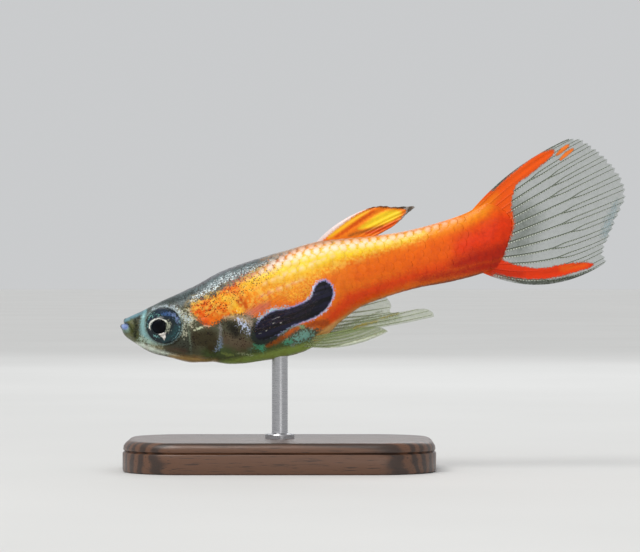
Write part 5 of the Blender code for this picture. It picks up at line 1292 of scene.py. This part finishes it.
# Dorsal fin. A low, narrow fin swept back over the stalk: orange with a yellow middle, a pinkish
# leading edge and a dark upper edge and tip. Its seven rays stand on the back.
DORSAL = {"root": [(11.7, 1.86), (13.2, 1.6), (14.6, 1.45)],
          "tips": [(15.3, 3.36), (16.1, 3.35), (17.05, 3.07), (18.1, 2.84), (17.6, 2.55), (17.15, 2.26),
                   (16.55, 1.98)],
          "rays": 7, "forks": 1, "tip_points": 0.08, "bow": (0.28, 0.0), "even_bow": True,
          "ray_radius": 0.022, "thickness": 0.08}
DORSAL_MARKINGS = [
    marking("dorsal_orange", (246, 126, 16), 0.06, 0.15,
            [[(11.3, 2.0), (13.2, 3.1), (15.3, 3.5), (16.2, 3.4), (16.9, 3.14), (17.6, 2.86),
              (17.66, 2.7), (17.3, 2.4), (16.5, 1.9), (14.8, 1.6), (14.0, 1.4), (11.5, 1.6)]]),
    marking("dorsal_gold", (252, 186, 34), 0.12, 0.15,
            [[(12.9, 2.3, 0.08), (13.4, 2.54, 0.14), (14.2, 2.84, 0.14), (14.9, 3.06, 0.12),
              (15.5, 3.22, 0.06)]]),
    marking("dorsal_streak", (228, 92, 2), 0.08, 0.15,
            [[(13.3, 2.2, 0.06), (14.3, 2.56, 0.1), (14.95, 2.84, 0.1), (15.8, 3.16, 0.06)]]),
    marking("dorsal_yellow", (255, 216, 40), 0.14, 0.15,
            [[(14.5, 2.34), (15.2, 2.6), (15.9, 2.92), (16.6, 3.0), (17.2, 2.88), (17.4, 2.66),
              (16.86, 2.36), (16.2, 2.28), (15.54, 2.26)]]),
    marking("dorsal_lower", (222, 78, 6), 0.08, 0.15,
            [[(15.1, 2.02, 0.08), (15.8, 2.0, 0.1), (16.4, 2.08, 0.12), (16.95, 2.3, 0.06)]]),
    marking("dorsal_rust", (112, 62, 16), 0.12, 0.06,
            [[(14.1, 2.1, 0.06), (14.7, 2.15, 0.08), (15.5, 2.17, 0.04), (16.1, 2.2, 0.03)]],
            cover=0.75),
    marking("dorsal_lead", (246, 226, 222), 0.07, 0.15,
            [[(12.1, 2.18, 0.16), (12.8, 2.52, 0.15), (13.5, 2.84, 0.15), (14.1, 3.05, 0.1),
              (14.7, 3.26, 0.07), (15.6, 3.44, 0.03)]]),
    marking("dorsal_top", (50, 44, 30), 0.06, 0.15,
            [[(15.4, 3.42, 0.03), (16.2, 3.35, 0.08), (17.0, 3.08, 0.06), (17.6, 2.93, 0.08)]],
            cover=0.85),
    marking("dorsal_tip", (60, 50, 36), 0.08, 0.15,
            [[(17.9, 2.85, 0.14), (17.75, 2.6, 0.08), (17.3, 2.26, 0.05), (16.6, 1.92, 0.03)]],
            cover=0.75),
]
dorsal_group = markings_group("dorsal_fin_markings", DORSAL_MARKINGS, (120, 90, 60), 0.35)
dorsal_sheet = membrane_finish("dorsal_membrane", dorsal_group)
dorsal_horn = ray_finish("dorsal_rays", dorsal_group, (60, 40, 26), (228, 180, 140), 0.9)
make_membrane("dorsal_fin_sheet", DORSAL, dorsal_sheet, DORSAL_MARKINGS, ["dorsal_fin"])
make_rays("dorsal_fin_rays", DORSAL, dorsal_horn, DORSAL_MARKINGS)

# Anal and pelvic fins. Clear, greenish fins folded back under the belly: the male's anal fin is long,
# narrow and thick-rayed, and the pelvic pair lies before it with whitish lower edges.
ANAL = {"root": [(10.95, -3.1), (11.6, -2.8), (12.3, -2.35), (13.2, -1.95)],
        "tips": [(17.75, -3.62), (17.7, -3.3), (17.2, -3.0), (15.9, -2.88), (15.35, -2.75), (15.5, -2.35),
                 (15.3, -1.75)],
        "rays": 7, "forks": 0, "tip_points": 0.0, "bow": (-0.12, 0.0), "even_bow": True,
        "ray_radius": 0.042, "thickness": 0.07}
PELVIC = {"root": [(9.95, -3.5), (10.3, -3.3), (10.65, -3.05)],
          "tips": [(14.95, -3.78), (14.6, -3.5), (13.9, -3.3), (13.1, -3.15)],
          "rays": 5, "forks": 0, "tip_points": 0.0, "bow": (-0.42, 0.0), "even_bow": True,
          "ray_radius": 0.036, "thickness": 0.05}
PELVIC_OUT, PELVIC_FLARE, PELVIC_FROM = 0.48, 0.18, 8.75
CLEAR_MARKINGS = [
    marking("clear_green", (120, 140, 80), 0.3, 0.2,
            [[(11.2, -3.2, 0.3), (13.4, -3.0, 0.3), (15.6, -3.1, 0.2)]], cover=0.35),
    marking("clear_amber", (190, 156, 48), 0.08, 0.2,
            [[(13.1, -3.14, 0.04), (13.6, -3.1, 0.08), (14.5, -3.08, 0.04)],
             [(14.7, -2.98, 0.04), (15.8, -2.95, 0.03)]], cover=0.6),
    marking("clear_edge", (228, 232, 216), 0.06, 0.1,
            [[(11.0, -3.93, 0.04), (12.4, -3.98, 0.07), (13.6, -3.93, 0.07), (14.9, -3.78, 0.04)]],
            cover=0.85),
    marking("clear_dark", (40, 44, 30), 0.08, 0.15,
            [[(12.6, -2.9, 0.04), (14.9, -2.6, 0.05)]], cover=0.4),
]
clear_group = markings_group("clear_fin_markings", CLEAR_MARKINGS, (150, 166, 108), 0.24)
clear_sheet = membrane_finish("clear_membrane", clear_group)
clear_horn = ray_finish("clear_rays", clear_group, (118, 128, 84), (182, 190, 146), 0.45)
make_membrane("anal_fin_sheet", ANAL, clear_sheet, CLEAR_MARKINGS, ["anal_fin"])
make_rays("anal_fin_rays", ANAL, clear_horn, CLEAR_MARKINGS)
for hand_name, hand in (("left", -1), ("right", 1)):
    def beside_belly(x, z, across, hand=hand):
        return hand * (PELVIC_OUT + PELVIC_FLARE * (x - PELVIC_FROM))
    make_membrane(f"pelvic_sheet_{hand_name}", PELVIC, clear_sheet, CLEAR_MARKINGS,
                  [f"pelvic_fin_{hand_name}"], beside_belly)
    make_rays(f"pelvic_rays_{hand_name}", PELVIC, clear_horn, CLEAR_MARKINGS, beside_belly)

# Pectoral fins. A small, glass-clear fan stands off each flank behind the gill cover, on twelve
# hair-fine rays with a rosy base, so that the body shows through it.
PECTORAL = {"root": [(6.8, -1.0), (6.8, -1.5), (6.9, -2.0)],
            "tips": [(9.7, 0.5), (10.6, 0.25), (11.3, -0.35), (11.45, -1.1), (10.8, -1.85)],
            "rays": 12, "forks": 1, "tip_points": 0.05, "bow": (0.15, 0.15), "ray_radius": 0.011,
            "thickness": 0.02}
PECTORAL_SINK, PECTORAL_STAND_OFF, PECTORAL_TURN, PECTORAL_FLARE = 0.4, 1.0, 0.7, 0.1
PECTORAL_MARKINGS = [
    marking("pectoral_root", (206, 120, 92), 0.3, 0.1,
            [[(7.4, -1.0, 0.2), (7.3, -1.5, 0.1)]], cover=0.2),
]
pectoral_group = markings_group("pectoral_markings", PECTORAL_MARKINGS, (226, 206, 180), 0.003)
pectoral_sheet = membrane_finish("pectoral_membrane", pectoral_group)
pectoral_horn = ray_finish("pectoral_rays", pectoral_group, (110, 52, 30), (170, 120, 100), 0.08)
for hand_name, hand in (("left", -1), ("right", 1)):
    def off_flank(x, z, across, hand=hand):
        roots = along_outline(PECTORAL["root"], across)
        reach = np.hypot(x - roots[..., 0], z - roots[..., 1])
        bend = PECTORAL_STAND_OFF * (1 - np.exp(-reach / PECTORAL_TURN)) + PECTORAL_FLARE * reach
        return hand * (flank_y(roots[..., 0], roots[..., 1]) - PECTORAL_SINK + bend)
    make_membrane(f"pectoral_sheet_{hand_name}", PECTORAL, pectoral_sheet, PECTORAL_MARKINGS,
                  [f"pectoral_fin_{hand_name}"], off_flank, rows=30)
    make_rays(f"pectoral_rays_{hand_name}", PECTORAL, pectoral_horn, PECTORAL_MARKINGS,
              off_flank)

# Stand. A dark walnut base with rounded ends and a moulded edge, turned on a small shaper and waxed,
# and a brushed steel rod that rises from a collar into the belly.
BASE_LENGTH, BASE_WIDTH, BASE_HEIGHT, BASE_CORNER = 18.0, 11.0, 1.8, 3.6
BASE_PROFILE = [(0.16, 0.0), (0.04, 0.04), (0.0, 0.14), (0.0, 1.08), (0.03, 1.13), (0.1, 1.15),
                (0.13, 1.19), (0.1, 1.24), (0.05, 1.27), (0.04, 1.34), (0.07, 1.5), (0.16, 1.65),
                (0.28, 1.75), (0.42, 1.8), (0.6, 1.8)]
CORNER_STEPS = 20
ROD_RADIUS, COLLAR_RADIUS, COLLAR_HEIGHT, ROD_TOP, ROD_SINK = 0.46, 0.85, 0.28, 6.75, 0.05


def base_ring(inset, height):
    """A ring of points round the base, set in from its outline, at a height."""
    ring = []
    for corner, (along, aside) in enumerate(((1, 1), (-1, 1), (-1, -1), (1, -1))):
        for step in range(CORNER_STEPS + 1):
            turn = (corner + step / CORNER_STEPS) * math.pi / 2
            reach = BASE_CORNER - inset
            ring.append((along * (BASE_LENGTH / 2 - BASE_CORNER) + reach * math.cos(turn),
                         aside * (BASE_WIDTH / 2 - BASE_CORNER) + reach * math.sin(turn), height))
    return ring


base_points = [point for inset, height in BASE_PROFILE for point in base_ring(inset, height)]
base_around = 4 * (CORNER_STEPS + 1)
base_faces = list(tube_faces(len(BASE_PROFILE), base_around))
base_faces += list(fan_faces(0, base_around, len(base_points), turned=True))
base_faces += list(fan_faces(len(base_points) - base_around, base_around, len(base_points) + 1))
base_points += [(0, 0, 0), (0, 0, BASE_HEIGHT)]
base = place_piece("stand_base_moulded", base_points, base_faces, ["stand_base"],
                   in_pose=False)
base.data.set_sharp_from_angle(angle=math.radians(38))

walnut, walnut_tree, walnut_shader = new_finish("walnut", {"Coat Weight": 0.35, "Coat Roughness": 0.25})
grain_place = millimetre_place(walnut_tree, (0.12, 1.0, 1.0))
year_rings = add_node(walnut_tree, "TexWave", {"Vector": grain_place, "Scale": 0.55, "Distortion": 5.0,
                                               "Detail": 4.0,
                                               "Detail Scale": 1.2}, bands_direction="Y")
pores = noise(walnut_tree, millimetre_place(walnut_tree, (0.5, 8.0, 8.0)), 1.6, 3.0)
late_wood = fade(walnut_tree, year_rings.outputs[0], 0.1, 0.9)
wood = mix_colours(walnut_tree, late_wood, pigment(52, 32, 20), pigment(96, 62, 40))
dark_pores = fade(walnut_tree, pores, 0.56, 0.68, 0.0, 0.7)
wood = mix_colours(walnut_tree, dark_pores, wood, pigment(28, 16, 10))
wood_bump = add_node(walnut_tree, "Bump", {"Strength": 0.4, "Distance": 0.02 * MM, "Height": pores},
                     invert=True)
for value, key in ((wood, "Base Color"), (fade(walnut_tree, pores, 0.3, 0.7, 0.35, 0.5), "Roughness"),
                   (wood_bump.outputs[0], "Normal")):
    walnut_tree.links.new(value, walnut_shader.inputs[key])
base.data.materials.append(walnut)

collar_top = BASE_HEIGHT + COLLAR_HEIGHT
ROD_PROFILE = [(COLLAR_RADIUS, BASE_HEIGHT - ROD_SINK), (COLLAR_RADIUS, collar_top - 0.07),
               (COLLAR_RADIUS - 0.03, collar_top - 0.02), (COLLAR_RADIUS - 0.09, collar_top),
               (ROD_RADIUS + 0.08, collar_top), (ROD_RADIUS + 0.02, collar_top + 0.03),
               (ROD_RADIUS, collar_top + 0.1), (ROD_RADIUS, ROD_TOP - 0.1), (ROD_RADIUS - 0.1, ROD_TOP)]
rod_around = 64
rod_points = [(radius * math.cos(turn), radius * math.sin(turn), height) for radius, height in ROD_PROFILE
              for turn in np.arange(rod_around) / rod_around * 2 * math.pi]
rod_faces = list(tube_faces(len(ROD_PROFILE), rod_around))
rod_faces += list(fan_faces(0, rod_around, len(rod_points), turned=True))
rod_faces += list(fan_faces(len(rod_points) - rod_around, rod_around, len(rod_points) + 1))
rod_points += [(0, 0, BASE_HEIGHT - ROD_SINK), (0, 0, ROD_TOP)]
rod = place_piece("stand_rod_turned", rod_points, rod_faces, ["stand_rod"], in_pose=False)
rod.data.set_sharp_from_angle(angle=math.radians(30))
steel, steel_tree, steel_shader = new_finish("brushed_steel", {"Metallic": 1.0})
brushing = noise(steel_tree, millimetre_place(steel_tree, (1.0, 1.0, 14.0)), 2.0, 3.0)
steel_bump = add_node(steel_tree, "Bump", {"Strength": 0.25, "Distance": 0.01 * MM, "Height": brushing})
steel_tone = mix_colours(steel_tree, brushing, pigment(150, 150, 152), pigment(205, 205, 208))
for value, key in ((steel_tone, "Base Color"),
                   (fade(steel_tree, brushing, 0.3, 0.7, 0.22, 0.4), "Roughness"),
                   (steel_bump.outputs[0], "Normal")):
    steel_tree.links.new(value, steel_shader.inputs[key])
rod.data.materials.append(steel)
